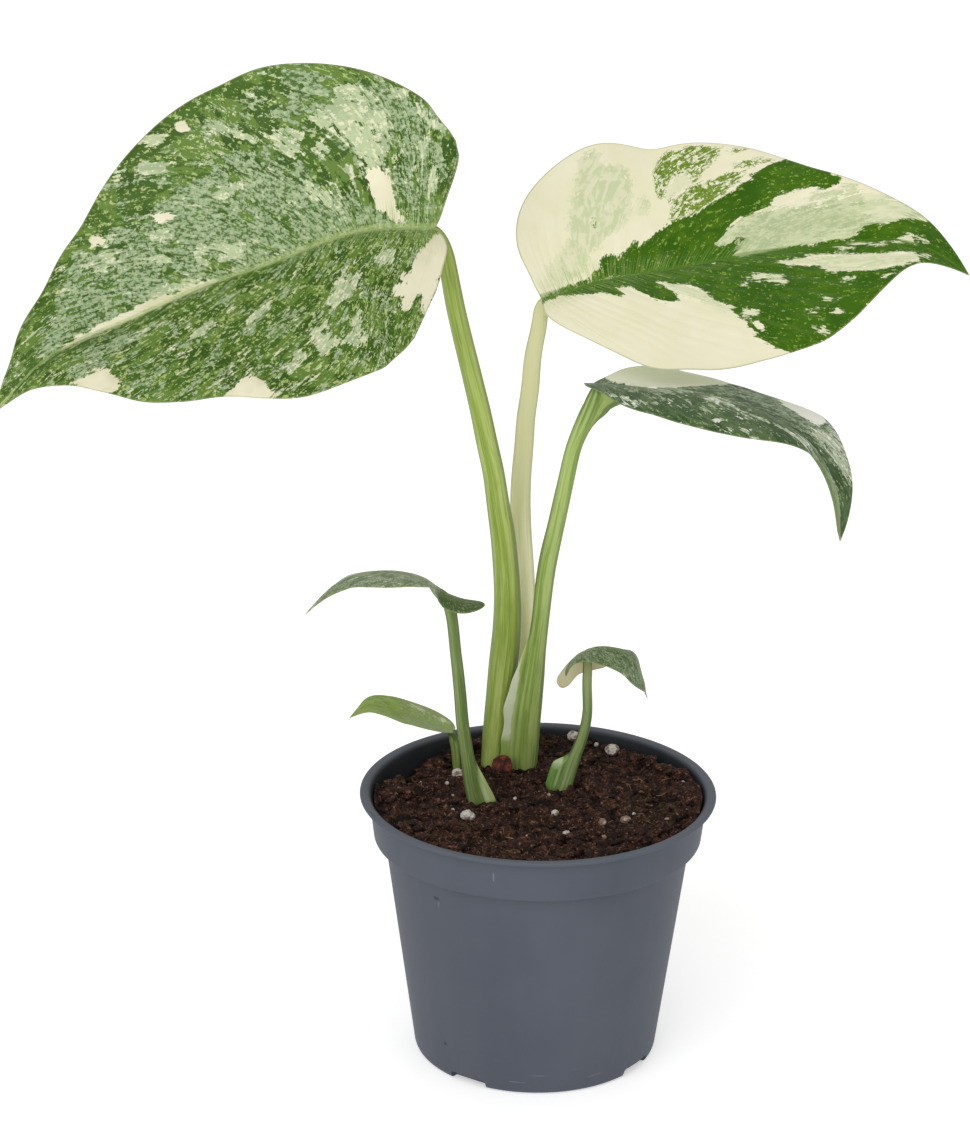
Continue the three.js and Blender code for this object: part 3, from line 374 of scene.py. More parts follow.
# ------------------------------------------------------------------ the plant, as measured (mm)
# mid: midrib from the attachment to the tip; roll, ff, fn, cf, cn: tilt, fold and curl of the far and near half at the
# stations st; far, near: flat outline of each half
LEAF = {
    "left_large": dict(
        mid=[[-35.7, 15, 283.7], [-61.8, 12, 282.7], [-86.1, 7.8, 274.2], [-110.5, 2.6, 266.3], [-133.9, -3.8, 256.8], [-157, -11.2, 247.4], [-174.3, -19.8, 231.2]],
        st=[0, 0.5, 1],
        roll=[49.6, 36.3, 30.5],
        ff=[26.8, 19.5, 11.1],
        fn=[18.3, 14.2, 9.9],
        cf=[0, 0, 0],
        cn=[-17.7, -15.5, -15.8],
        kl=60, back=0.0,
        far=[[0, 0], [-1.5, 3.5], [-3, 8.4], [-6.3, 19.1], [-6.8, 25.3], [-4, 30.9], [-0.1, 35.3], [3.1, 39.7], [8.9, 44.5], [17.6, 50.5], [23.9, 54.3], [29.7, 57.5], [35.5, 59.6], [45.7, 60.1], [62.2, 59.9], [72.8, 57], [82.2, 51.8], [92.6, 45.4], [105, 37.2], [115.4, 30.6], [124.9, 21.1], [133, 15.7], [142.8, 8.3], [151.2, 3.9], [155.9, 0]],
        near=[[0, 0], [-1.8, -3.2], [-3.3, -7.4], [-2.3, -15], [1, -27.5], [4.6, -35.9], [9.4, -45.5], [18.9, -52.3], [39.9, -56.9], [50.6, -57.8], [59.7, -58.1], [69.7, -55.8], [79.1, -52.7], [90.9, -47.8], [98.6, -45.1], [105.2, -41.4], [111.9, -36.4], [119, -29.8], [124.3, -25.2], [131.5, -18.2], [138.8, -11.3], [146.5, -4.6], [151.5, -2.2], [155.9, 0]],
    ),
    "right_large": dict(
        mid=[[-0.9, 40, 253.2], [22.6, 49.6, 257.9], [47.2, 57.1, 260.2], [71.7, 62.6, 263.9], [96.7, 66.2, 265.7], [121.7, 67.7, 266.9], [143.3, 67.2, 255.8]],
        st=[0, 0.5, 1],
        roll=[32.6, 24.9, 33.5],
        ff=[18, 10.1, 6.4],
        fn=[16.2, 8.4, 6.2],
        cf=[-2.3, -6, -9.7],
        cn=[-15.4, -18.6, -15.2],
        kl=60, back=0.0,
        far=[[0, 0], [-0.6, 4], [-0.6, 8.7], [-0.5, 19.2], [1.6, 25.6], [8.7, 35.5], [17.2, 42.9], [24.9, 48.6], [33.7, 53.6], [45.8, 54.5], [56.8, 51.9], [65, 52.6], [74.9, 51.1], [82.4, 48], [92.4, 42.5], [103.7, 34.6], [115.4, 25.1], [124.3, 18], [134, 12.6], [141.5, 8], [147.5, 3.6], [152.1, 0]],
        near=[[0, 0], [-1.4, -3.6], [-2.6, -7.8], [-1.3, -16.6], [4.1, -28.1], [10.5, -38.3], [18.6, -46.9], [34.1, -50.8], [47.8, -52.2], [60.2, -52.4], [76.3, -50.9], [88.1, -47.8], [99.4, -39.8], [107.9, -32.1], [121.1, -20.6], [130.8, -12.1], [138.5, -6.4], [145.5, -2.8], [152.1, 0]],
    ),
    "right_drooping": dict(
        mid=[[15.9, 12, 232.3], [31.1, 7.1, 232.2], [46.1, 2.3, 232.2], [60.8, -2.3, 229.9], [74.9, -6.6, 225.6], [86.9, -10.8, 217.4], [93.8, -14.8, 204.7], [96.4, -18.5, 190.2]],
        st=[0, 0.5, 1],
        roll=[-7.5, -14.5, 9.5],
        ff=[10.1, 9.6, 21],
        fn=[14.8, 23.6, 33.4],
        cf=[-6.6, -9.3, -4.4],
        cn=[-22.2, -56.8, -19.8],
        kl=35, back=0.0,
        far=[[0, 0], [0.6, 3], [2.2, 9], [4.2, 18.6], [8.4, 28], [14.7, 34.6], [22.5, 37.3], [35.9, 37.3], [50.3, 38], [63, 34.2], [74, 28.4], [81, 21.2], [87.8, 14.6], [94.2, 10], [99.8, 6.3], [104.5, 3], [108.3, 0]],
        near=[[0, 0], [-0.8, -4], [0.2, -10], [2.2, -17], [6.5, -23.5], [12.5, -29.3], [21.4, -35], [29.2, -37.6], [37.9, -39], [49.6, -39], [59.7, -38], [68.3, -32.8], [74.8, -26.2], [79, -20.9], [84.5, -15.5], [90, -11.2], [97, -7.2], [103, -3.4], [108.3, 0]],
    ),
    "left_small_upper": dict(
        mid=[[-31, 2, 163.1], [-38.8, 1.6, 167.3], [-47.2, 0.8, 169.7], [-55.9, -0.4, 170.2], [-64.2, -2.1, 168.6], [-71.3, -4.3, 164], [-77.1, -6.8, 158.2]],
        st=[-0.2, 0, 0.15, 0.5, 1],
        roll=[-4, -4, -6, -4, -6],
        ff=[-34, -16, -2, -9, -8],
        fn=[-8, -8, 14, 2, 2],
        cf=[-12, -14, -10, -14, -10],
        cn=[-26, -38, -22, -20, -9],
        kl=13, back=-0.032,
        far=[[0, 0], [-3, 2.2], [-7.5, 3.2], [-10.4, 6], [-10, 9.6], [-6, 12.2], [0, 13.6], [7, 14.6], [14, 14], [23, 11.8], [32, 9.4], [40, 6.6], [46, 4], [50, 1.7], [52.6, 0]],
        near=[[0, 0], [-4, -0.8], [-8, -1.4], [-11.2, -3.2], [-12, -6], [-9.6, -8.8], [-5, -9.8], [0, -9.2], [4.4, -9.4], [9.4, -12.4], [16, -13.9], [24.3, -12.4], [33.1, -10.6], [40, -7.6], [46, -4.6], [50, -1.9], [52.6, 0]],
    ),
    "left_small_lower": dict(
        mid=[[-29.7, 27, 103], [-36.7, 27.7, 105.7], [-43.9, 27.3, 107.9], [-51, 25.7, 110.8], [-58.2, 23, 113], [-64.4, 19.1, 110.6]],
        st=[0, 0.5, 1],
        roll=[6, 10.4, 16.3],
        ff=[5.9, 13.7, 6.8],
        fn=[12.3, 15.1, 2.2],
        cf=[-14.2, -10.1, -13.3],
        cn=[-14.3, -10.6, -14.8],
        kl=9, back=0.0,
        far=[[0, 0], [-0.6, 1.4], [0, 3.8], [1.6, 5.9], [5, 7.3], [9.5, 7.8], [15.3, 8], [20.5, 7.5], [25, 6.6], [29.2, 4.9], [33.1, 2.3], [36.4, 0.8], [38.8, 0]],
        near=[[0, 0], [-0.5, -1.4], [0.5, -4], [3.2, -6.4], [7.5, -7.9], [13.2, -8.2], [18.1, -7.7], [24, -6.2], [30.1, -4.2], [34.3, -2.4], [38.8, 0]],
    ),
    "right_small": dict(
        mid=[[15, 14, 138.5], [19.3, 12, 140.6], [24.3, 10.4, 140.9], [29.2, 9.3, 139.3], [33, 8.7, 133.3], [36.3, 8.5, 123.8]],
        st=[-0.35, 0, 0.3, 0.6, 1],
        roll=[-6, -6, 4, 7.8, 5.4],
        ff=[-40, -38, -26, -15, -5],
        fn=[-55, -10, -5, -1, 4],
        cf=[-30, -30, -20, -10, -10],
        cn=[-12, -8, -17, -14, -10],
        kl=10, back=0.012,
        far=[[0, 0], [-4, 1.6], [-9, 3], [-14, 3.6], [-17.4, 5.2], [-17.8, 7.8], [-15.4, 9.3], [-12.2, 8.9], [-9, 8.6], [-5, 9.6], [0, 10.6], [6, 10.4], [12, 9.4], [18, 7.5], [24, 4.6], [28.5, 1.8], [31.1, 0]],
        near=[[0, 0], [-2.5, -1.5], [-5.5, -3.2], [-7.8, -5.2], [-7.2, -7.6], [-4, -8.6], [0.2, -8.8], [4, -9.3], [9.5, -9.9], [15.1, -9.9], [19.2, -8.8], [23.2, -7], [28.2, -3.4], [31.1, 0]],
    ),
}
# centre line and radius of each leaf stalk
STALK = {
    "left_large": dict(
        c=[[-15.7, 33.5, 87.8], [-15, 32.6, 98.3], [-13.8, 31.2, 113], [-12.4, 29.8, 128.3], [-11.3, 28.4, 143.4], [-11.4, 27.4, 154.7], [-12.2, 26.2, 167.3], [-13.3, 25.2, 177.6], [-14.7, 24.4, 186.8], [-16.3, 23.3, 198], [-18.4, 22.3, 208.1], [-20.4, 21.3, 218.2], [-22.6, 20.4, 228.1], [-24.9, 19.4, 238], [-27.2, 18.4, 247.8], [-29.3, 17.4, 257.6], [-30.6, 16.7, 264.9], [-31.8, 16, 272.1], [-33.1, 15.4, 277.6], [-34.8, 15, 281.7]],
        r=[4.33, 4.55, 4.67, 4.95, 4.75, 4.46, 4.31, 4.13, 3.85, 3.66, 3.59, 3.44, 3.3, 3.22, 3.18, 3.11, 3, 2.8, 2.47, 2.08],
    ),
    "right_large": dict(
        c=[[-3.9, 41.5, 84.6], [-4.3, 41.4, 101.6], [-4.7, 41.3, 123.9], [-5.2, 41.2, 142.4], [-6.1, 41.1, 159.9], [-7, 41, 172.2], [-7.3, 40.9, 182.2], [-7, 40.9, 192.3], [-6.3, 40.8, 202.3], [-5.7, 40.7, 212.2], [-4.5, 40.7, 222.1], [-3.8, 40.6, 231.9], [-2.7, 40.6, 238.9], [-1.5, 40.5, 246.5], [-0.5, 40.5, 251.4]],
        r=[3.31, 3.47, 3.51, 3.63, 3.61, 3.6, 3.49, 3.35, 3.24, 3.16, 3.09, 2.95, 2.77, 2.6, 2.2],
    ),
    "right_drooping": dict(
        c=[[-4.8, 32.5, 87.7], [-4.5, 31.3, 96.4], [-3.6, 29.4, 110.2], [-2.2, 27.5, 123.9], [-1, 25.8, 135.5], [0.2, 24.2, 147], [1.2, 22.5, 158.8], [2.6, 21, 169.4], [4.6, 19.5, 179.9], [6.5, 17.9, 190.3], [8.4, 16.4, 200.7], [10.6, 14.9, 211], [12.4, 14.1, 216.1], [14.7, 13.3, 221.9], [16.6, 12.5, 227], [17.5, 12, 230.2]],
        r=[4.15, 4.55, 4.46, 3.92, 3.26, 3.01, 3.09, 3.08, 2.9, 2.83, 2.72, 2.64, 2.8, 2.96, 2.95, 2.46],
    ),
    "left_small_upper": dict(
        c=[[-20.5, 2, 87.2], [-22.6, 2, 95.6], [-24.1, 2, 105.8], [-25.6, 2, 116.7], [-26.2, 2, 123.9], [-27.4, 2, 136.5], [-28, 2, 141.8], [-29.1, 2, 152.5], [-30.3, 2, 158.9]],
        r=[3.11, 2.63, 2.32, 2.18, 2.11, 1.97, 1.9, 1.89, 2.05],
    ),
    "left_small_lower": dict(
        c=[[-28.1, 29.5, 88.2], [-28.5, 28.3, 94.7], [-29, 27.5, 99.1], [-29.7, 27, 101.7]],
        r=[1.35, 1.45, 1.58, 1.44],
    ),
    "right_small": dict(
        c=[[8.4, 13.5, 86.7], [9.8, 13.5, 91.5], [11.4, 13.6, 96.7], [13.2, 13.7, 102.2], [14.9, 13.7, 107.4], [16, 13.8, 112.5], [16.4, 13.8, 117.6], [16.2, 13.9, 122.7], [16.1, 13.9, 129.2], [15.9, 14, 134.9]],
        r=[2.8, 2.52, 2.31, 2.04, 1.87, 1.76, 1.66, 1.65, 1.62, 1.48],
    ),
}
# peat level at the pot wall: angle from the front (degrees, + towards +X), height
WALL = [[-180, 90.8], [-156, 91.2], [-141, 88], [-131, 84.9], [-123, 80.8], [-117, 81.6], [-110, 85.7], [-97, 91.4], [-80, 91], [-60, 90.4], [-30, 90], [0, 90], [30, 90], [60, 90.5], [90, 91.8], [105, 91.6], [115, 92], [125, 90.3], [132, 88.4], [140, 88.9], [155, 89.8], [165, 91.3], [180, 90.8]]
CHIP = dict(at=(-12.6, 24.6, 91.0), size=(7.8, 2.4, 7.4), tilt=(-38, 8, -8))
GRAINS = [(-23.3, -12, 2.3, 1), (-27.6, 23.2, 2, 2.1), (12.1, 50.1, 2.1, 3.3), (25.6, 43.1, 2.4, 4), (29.5, -13.1, 1.7, 5.2), (21.5, -15.5, 1.5, 6.1), (9.5, -26, 1.3, 7.4), (5.8, -9.1, 1.25, 8.2)]
# smaller grains: x, y, radius
SMALL_GRAINS = [(-28.5, -4.5, 0.7), (-28.7, 3.1, 0.6), (-31.0, 14.1, 0.6), (-38.6, 26.8, 0.6), (-40.1, 19.8, 0.5), (-7.7, 3.0, 0.6), (3.8, 6.0, 0.6), (5.8, -9.0, 0.8), (9.5, -26.1, 0.6), (-3.4, -28.2, 0.5), (15.1, -25.1, 0.7), (22.0, -27.3, 0.8), (18.0, -36.2, 0.5), (32.3, -8.1, 0.6), (48.0, 20.8, 0.6), (49.3, 13.6, 0.6), (43.1, -15.9, 0.9), (20.2, 48.2, 0.8)]
# tone patches drawn in flat leaf coordinates: D green, G grey green, P pale, C cream, S speckled
PATCH = {
    "1": [
        ("G", [[3.6, -0.6], [10.1, 1.8], [15.1, 3.2], [21.3, 8], [26.8, 11.8], [32.6, 17.6], [36.5, 25.5], [42.2, 31.8], [47.1, 38.3], [56.9, 37.7], [65.5, 34.5], [73.5, 33], [80.9, 31.2], [90.6, 30.7], [102.7, 29.2], [112.4, 25.8], [119.4, 18.8], [125.4, 11.5], [132.2, 5.9], [132.8, 2.7], [117.5, 0.5], [99.9, 1], [75.1, -0.2], [52.1, -1.1], [32.3, -5.2], [11.6, -3.4]]),
        ("G", [[32.2, 56.2], [28.9, 56.3], [25.3, 54.2], [23.4, 49.2], [18.1, 46], [10.7, 43.5], [4.3, 39], [-0.6, 34.7], [2.4, 30.8], [9.8, 33.2], [12, 24.9], [15.4, 19.3], [19.7, 18.5], [22, 22.8], [24.6, 32.6], [29.6, 37.6], [32.5, 42.4], [33.1, 49.9]]),
        ("P", [[23.7, 48], [20.8, 47.5], [17.4, 43.7], [16.4, 38.4], [13.5, 34.6], [13.2, 28.8], [15.6, 20], [18.8, 19], [21.4, 23.6], [22.3, 27.7], [24.4, 32.5], [28.5, 36.7], [30.6, 41.1], [27.1, 40.7], [24.6, 43]]),
        ("C", [[19.4, 18.4], [16.6, 20.7], [15, 15.8], [13.5, 12.1], [13, 7.9], [9.7, 1.8], [14.2, 2.8], [17.6, 6.6], [19.7, 12.3]]),
        ("P", [[20.6, 29], [17.8, 29.2], [17.6, 25.3], [20.6, 24.8]]),
        ("D", [[24.8, 54.3], [21.8, 52.9], [21.8, 48.4], [24, 48.7], [25.1, 51.1]]),
        ("G", [[9.8, 33.2], [2.4, 30.8], [-2.5, 25.1], [-3.4, 17.1], [-0, 9], [3.7, 1.8], [8.8, 4], [11.7, 12.1], [12.1, 21.7]]),
        ("P", [[13.5, 45.5], [10, 43.5], [9.7, 41.9], [13.5, 43.6]]),
        ("P", [[5.2, 36.8], [-1.3, 32.8], [-2.4, 30.9], [2.5, 33.3]]),
        ("P", [[38.7, 39.9], [35.3, 38.8], [32.7, 34.7], [33.3, 30.9], [37, 29.3], [39.5, 34]]),
        ("P", [[30.5, 31.9], [27.7, 31.4], [27, 27.5], [28.8, 24.8], [31, 28.4]]),
        ("P", [[25.2, 21.6], [23, 21.7], [23.4, 17.2], [25.5, 16.7]]),
        ("P", [[36.4, 22], [34.8, 19.9], [32.4, 14.4], [33.5, 13.5], [36, 17.7]]),
        ("P", [[33.3, 15.2], [31.5, 13.4], [28.9, 7.8], [29.7, 6.7], [32.4, 10.3]]),
        ("P", [[5.3, 28.5], [3.3, 29.1], [2.9, 25], [4.3, 21.1], [5.6, 24.3]]),
        ("P", [[1.8, 19.9], [-0.4, 20.6], [-0.5, 15.5], [1, 10.9], [2, 14.1]]),
        ("C", [[68.8, 55.6], [65, 54.2], [65.9, 50.3], [69.3, 50.8]]),
        ("P", [[78.3, 54.7], [74.8, 54.1], [72.1, 51.1], [73.4, 48.5], [77.5, 50.9]]),
        ("P", [[81.5, 46.4], [77.2, 44.8], [73.5, 42.4], [74.8, 40.2], [80.4, 43.1]]),
        ("P", [[59.6, 51.7], [51.8, 48], [43.4, 39.5], [44.4, 37.8], [51.3, 43.5], [59.9, 50.1]]),
        ("P", [[65, 27.6], [59.9, 30.3], [52.7, 29.2], [54.2, 26.9], [60.2, 25.5], [64.8, 26.4]]),
        ("C", [[83.8, 29.1], [80.7, 28.4], [77.6, 26.3], [78.7, 24], [82.8, 25.9]]),
        ("P", [[87.3, 25], [82.5, 23.5], [78.5, 20.2], [80.1, 18.1], [86.6, 21.2]]),
        ("C", [[105.7, 31.6], [102.1, 31.2], [99.5, 29.2], [100.9, 27.2], [105.5, 28.5]]),
        ("P", [[99.5, 29.2], [95.5, 28], [97.3, 25.8], [100.8, 26.4]]),
        ("G", [[110.9, 33.6], [105.6, 32.7], [107.2, 30], [111, 31.3]]),
        ("P", [[88.4, 50.9], [85.9, 50.4], [85.2, 48.1], [87.4, 44.9], [90, 45.7]]),
        ("P", [[76.4, 12.7], [69.5, 12], [61, 8.2], [62.4, 5.2], [69.9, 5], [76.9, 7.8]]),
        ("P", [[90, 17.3], [86.1, 16], [83.8, 13.7], [85.6, 12.4], [90.1, 14.7]]),
        ("P", [[109.3, 25.9], [102.7, 24.2], [98, 21.1], [100.5, 18.9], [107.7, 20.2], [110.9, 22.8]]),
        ("D", [[106.2, 38.4], [99.5, 40.5], [94.2, 38.5], [94.4, 35.1], [97.9, 32.3], [104, 33.2], [107.2, 35.3]]),
        ("D", [[59.4, 34.4], [55.1, 34.2], [51.5, 31.6], [54.4, 28.3], [58.8, 29.2]]),
        ("C", [[73.4, 0.6], [74.2, -1.9], [86.8, -2], [100.6, -0.9], [114.7, -1.7], [127.7, -1.8], [129.8, 0.3], [123.5, 1.2], [109.8, 2.4], [95.6, 2.7], [83.3, 1.9]]),
        ("P", [[94.5, 4.4], [87.5, 5], [79.2, 2.6], [82.5, 0.4], [90.6, 1.3]]),
        ("G", [[131.9, -14.2], [130, -8.5], [120.3, -7.7], [111.8, -6.9], [102.4, -7.6], [98.7, -8], [104.3, -12.3], [110.3, -13.2], [116.7, -17.4], [119, -20.3], [126.3, -18.2]]),
        ("C", [[131.4, -16.5], [124.8, -16.9], [117.8, -18.3], [115.9, -25.4], [119.1, -28.3], [125, -25.9], [130.4, -20.2]]),
        ("C", [[89.8, -47.6], [82.5, -46.5], [77.6, -44.7], [73.5, -45.2], [70.4, -49.5], [70.6, -55.6], [83.8, -52.9]]),
        ("C", [[2.6, -7.2], [-0.8, -2.6], [-4.6, -5.6], [-3.7, -13.7], [-0.1, -23.5], [3.9, -36.9], [5.9, -34.8], [5.3, -27.8], [9.3, -30.7], [10.3, -34.6], [13.1, -34.3], [11.5, -29.2], [15.9, -29.7], [15.4, -25.3], [11.2, -24.5], [12.8, -21.7], [8.8, -19.6], [7.9, -15], [4.7, -10.2]]),
        ("P", [[15, -9], [13.4, -10.4], [15.5, -14.1], [20.3, -17.2], [22, -15.7], [19.6, -12.5]]),
        ("P", [[33.1, -14.7], [32.9, -19.2], [27.9, -18.9], [29.4, -22.4], [34.7, -26.9], [41, -28.1], [44.8, -24.6], [40.4, -22.1], [37.1, -19]]),
        ("P", [[32.7, -32.2], [35.2, -37.3], [35.9, -41.3], [31.8, -41.7], [34.7, -44.8], [40, -45.8], [43.3, -42.6], [39.5, -39.8], [37.4, -36.3]]),
        ("P", [[45.6, -33.1], [45.6, -37.4], [48, -41.5], [43.7, -40.8], [50.4, -46.2], [51.5, -42.8], [51.4, -36.4], [52.6, -34.1], [49.7, -33.8]]),
        ("P", [[57.5, -39.7], [55.7, -42.2], [58.1, -46.2], [61.8, -48.1], [62.1, -44.7]]),
        ("P", [[66.3, -19], [59.1, -17.4], [57.8, -19.9], [64, -22.8], [68.1, -23]]),
        ("P", [[86.5, -18], [79.7, -17.7], [80, -20.6], [86.6, -22], [90.2, -21.8]]),
    ],
    "2": [
        ("W", [[59.6, 9.7], [69.3, 14], [79.8, 17.8], [94.7, 19.2], [106.9, 19.4], [117.4, 18.5], [126.6, 18.8], [133.5, 16.4], [131.6, 6.3], [118.9, 2.2], [105, -0.2], [91.2, -0.8], [76.2, -5.5], [62.6, -3.5], [56.2, 1.9]]),
        ("D", [[-2.7, -4.5], [-1.1, -1.6], [1.1, 0.3], [5.9, 1.2], [10.3, 1.5], [14.8, 1.5], [17.7, 1.4], [20.6, 3.5], [22.6, 3.9], [23.6, 5.3], [23.9, 7.6], [25.1, 9.1], [27.1, 9.2], [28.8, 8], [30.5, 8.8], [31.3, 8.4], [30.4, 6.5], [33.1, 9], [35.1, 10.8], [38, 13.2], [38.5, 11.8], [38.1, 10.3], [40, 11.4], [45, 15.2], [49.3, 17.5], [50.8, 17.9], [52.3, 19.4], [54.3, 19.7], [57.7, 20.4], [60.4, 21.8], [63.4, 22.6], [66.5, 24.2], [70.4, 25.6], [75, 28.1], [78.1, 30.6], [82, 32.9], [80.5, 33.5], [84.2, 36.5], [88.4, 39.2], [92.9, 41.3], [94.4, 42.6], [102.5, 36.6], [110.8, 28], [109.7, 26.1], [107.8, 25.3], [104.6, 24.2], [102.6, 25.4], [100.1, 26.6], [95.7, 25.9], [91, 25.4], [87.8, 24.3], [85.9, 21.7], [84.6, 20], [79.8, 17.5], [77.7, 16.4], [74.5, 15], [78.1, 17], [75.1, 15.9], [73.9, 14.8], [71.6, 13.3], [69, 10.6], [66.3, 8.3], [64.2, 6], [65.1, 4.8], [68.6, 5.8], [71.1, 7.5], [73.7, 7.9], [74.8, 6.7], [74.1, 4.6], [72, 3.4], [70.6, 1.8], [69.3, 0.8], [70.5, -0.3], [70.3, -1.2], [77, -0.3], [84.1, 0.8], [92, 1.3], [97.3, 1.4], [102.5, 1.4], [107.8, 1.8], [111.7, 3.4], [114.6, 6.3], [117.1, 6.7], [120.9, 6.6], [123.8, 8.1], [126, 9.6], [128.6, 11], [131.7, 11.6], [134, 12.4], [137.5, 12.5], [141.2, 10.8], [145.5, 8], [149.5, 5], [152.6, 0.3], [149.4, -1.8], [145.9, 1.3], [143.5, 1.7], [140.9, 0.1], [138.2, -2.8], [135.6, -4.5], [119.6, -7.9], [106.3, -6.4], [99.2, -5.3], [94.9, -5.4], [90.5, -6.7], [83.3, -7.4], [74.4, -5.9], [69.2, -5.1], [68.1, -3.5], [58.1, -2.1], [48, -1.5], [37.8, -1.1], [27.9, 0.3], [20, 0.5], [11.9, 0.1], [5.3, 0], [0.7, -1.7]]),
        ("D", [[-1.8, -3.1], [1.3, -0.5], [9.9, 0.5], [20.2, 1], [33.1, 0.4], [48.5, 0.2], [70.1, -1.9], [69.5, -4.2], [77.2, -5.6], [83.3, -7.4], [84.6, -9.1], [89.8, -9.7], [96.1, -10.3], [97.8, -11.3], [98.2, -13.4], [104.8, -14.4], [112.8, -15.2], [118.7, -15], [125.2, -13.5], [131.5, -9.6], [135.6, -4.5], [136.8, -4.3], [132.3, -11.7], [125.7, -18.4], [120.3, -22.8], [109.8, -30.8], [100, -39.9], [91.1, -46.6], [81.9, -51], [75.2, -52.1], [72.6, -50.4], [69.3, -48.4], [66.8, -46.5], [64.9, -43.3], [63.5, -42.2], [61.5, -39.6], [61.4, -34.8], [63.9, -41.7], [61.8, -39.8], [61.4, -36.9], [62.5, -34.3], [60.2, -31.5], [58.7, -28.1], [57.7, -24.8], [56.1, -23.2], [53.6, -21.2], [53.4, -18.8], [52.5, -15.2], [50.6, -13], [48.1, -11], [44.8, -10.1], [42.5, -9.1], [39.7, -7.1], [41.3, -11], [43, -14], [43.8, -16.3], [43.6, -17.9], [41.5, -18.6], [38.4, -17.9], [35.8, -16.1], [33.1, -12.9], [30.5, -9.6], [29.3, -7.1], [27.6, -6], [24.2, -6.2], [25.3, -8.8], [26.5, -10.7], [24.3, -11.3], [21.7, -9.4], [19.3, -7.5], [16.7, -5.8], [14.6, -5.7], [10.1, -3.8], [5.4, -2.1], [1.4, -2.6]]),
        ("P", [[39.7, -7.1], [42.5, -9.1], [44.8, -10.1], [48.1, -11], [50.6, -13], [52.5, -15.2], [53.9, -18.9], [55.9, -22.3], [58.3, -24.6], [59.1, -26.7], [58.2, -28.7], [55.3, -25.8], [52.4, -23.4], [49.3, -20.2], [47.1, -17.6], [44.5, -14.1], [42.3, -11.3]]),
        ("P", [[83.3, -7.4], [86.7, -6.8], [90.5, -6.7], [94.9, -5.4], [99.2, -5.3], [106.3, -6.4], [113, -8], [119.6, -7.9], [128.4, -7.3], [135.6, -4.2], [131.5, -9.6], [125.2, -13.5], [118.7, -15], [112.8, -15.2], [104.8, -14.4], [98.1, -13.6], [97.6, -11.5], [95.2, -9.8], [89.9, -9.3], [85.7, -9]]),
        ("G", [[98.6, -8.5], [105.8, -8.8], [116.4, -10.4], [127.1, -10.3], [122, -13.5], [113, -14.3], [103.9, -13.5], [99.4, -12.3]]),
        ("P", [[29.4, 48.1], [32.9, 52.2], [35.2, 50.9], [35, 48.3], [32.7, 45.9], [37.4, 45], [42.3, 44.9], [42.9, 39.7], [42.9, 35.9], [39.4, 24.8], [37, 21.4], [31.9, 17.2], [27.3, 14.5], [22.1, 10.4], [18.1, 5.1], [14.8, 3.2], [10.1, 3.6], [5.7, 3.3], [4.7, 7.1], [6, 10.1], [10.1, 11.1], [14.5, 15.5], [17.6, 20.5], [20.9, 27.9], [24.1, 35.6], [27.1, 42.3]]),
        ("G", [[33.2, 51.6], [34.8, 51.2], [34.8, 48.3], [32.7, 46.3], [30.8, 43.6], [31.8, 47.9]]),
        ("G", [[38.9, 39.9], [41.7, 39.1], [42.4, 35.9], [40.5, 31], [38.9, 32.3], [38.4, 36.1]]),
        ("G", [[22.8, 28.3], [26.3, 31.5], [30.7, 35], [31.1, 33.1], [26.9, 28.9], [23.9, 26]]),
        ("G", [[7, 5.2], [9.5, 7.2], [10.2, 6.1], [6.8, 2.1], [6, 2.7]]),
        ("S", [[26.6, 23.4], [27.3, 23], [27.6, 21.6], [26.7, 20.8], [26.2, 21.6]]),
        ("P", [[43.4, 30.1], [45.9, 31.8], [47.2, 29.8], [46, 25.5], [43.4, 22.9], [41.9, 24]]),
        ("S", [[51.2, 39.9], [53.2, 42.5], [55.7, 47], [58, 49.2], [63.1, 49.6], [68, 50.7], [69.7, 50.9], [71.9, 49.5], [75.9, 49], [74.4, 45.8], [72.2, 42.7], [69.2, 39.1], [65.4, 35], [64.4, 34.9], [64.1, 37.4], [62.4, 39.8], [60.1, 38.8], [56.6, 36], [54.2, 34.3], [52.7, 31.2], [50.1, 27.6], [50.2, 31.5], [50.7, 34.7], [52.3, 37.9]]),
        ("S", [[55.1, 28.2], [57.5, 28.5], [60.9, 31.2], [65.9, 33.5], [69.8, 34], [74.5, 35.8], [77.6, 36.7], [79.9, 35.6], [77.6, 32.4], [72.8, 27.9], [67.8, 24.2], [63.2, 21.9], [60.2, 21], [57.5, 19.9], [54.2, 19.2], [52, 19.1], [52.4, 21.5], [55, 23.6], [54.7, 27]]),
        ("S", [[77.8, 40.2], [81.6, 40.9], [85.5, 41.2], [81.4, 41], [85, 41.5], [89.2, 41.6], [90, 40.5], [86.4, 38.7], [81.8, 38.1], [79.2, 38.3], [81.2, 38.1], [78.3, 38.5]]),
        ("S", [[78.5, 46.4], [79.5, 47.7], [82, 47.9], [82.8, 46.8], [80, 45.7]]),
        ("P", [[53.7, 31.7], [56.8, 34.6], [60.4, 38.1], [62.6, 39], [63.9, 36.7], [64.3, 34.6], [62.2, 32.3], [57.6, 30.5], [53.8, 28.4], [52.6, 29.9]]),
        ("G", [[76.4, 10.4], [80.5, 13.6], [86.7, 14.9], [93.2, 14.4], [100.6, 14.5], [107.4, 13.9], [112.1, 12.7], [113, 10.5], [112, 8.7], [105.7, 7.2], [99.1, 6.2], [92.8, 5.6], [88.7, 3.3], [81.4, 0.8], [74, 0.7], [70.8, 0.4], [72.4, 6.5]]),
        ("G", [[96.4, 21.1], [97.8, 23], [102.3, 23.7], [106.5, 23.5], [110.6, 24.3], [113.3, 24.5], [116.6, 23], [116.9, 21.6], [113.7, 20.6], [108, 20.3], [101.7, 20.3]]),
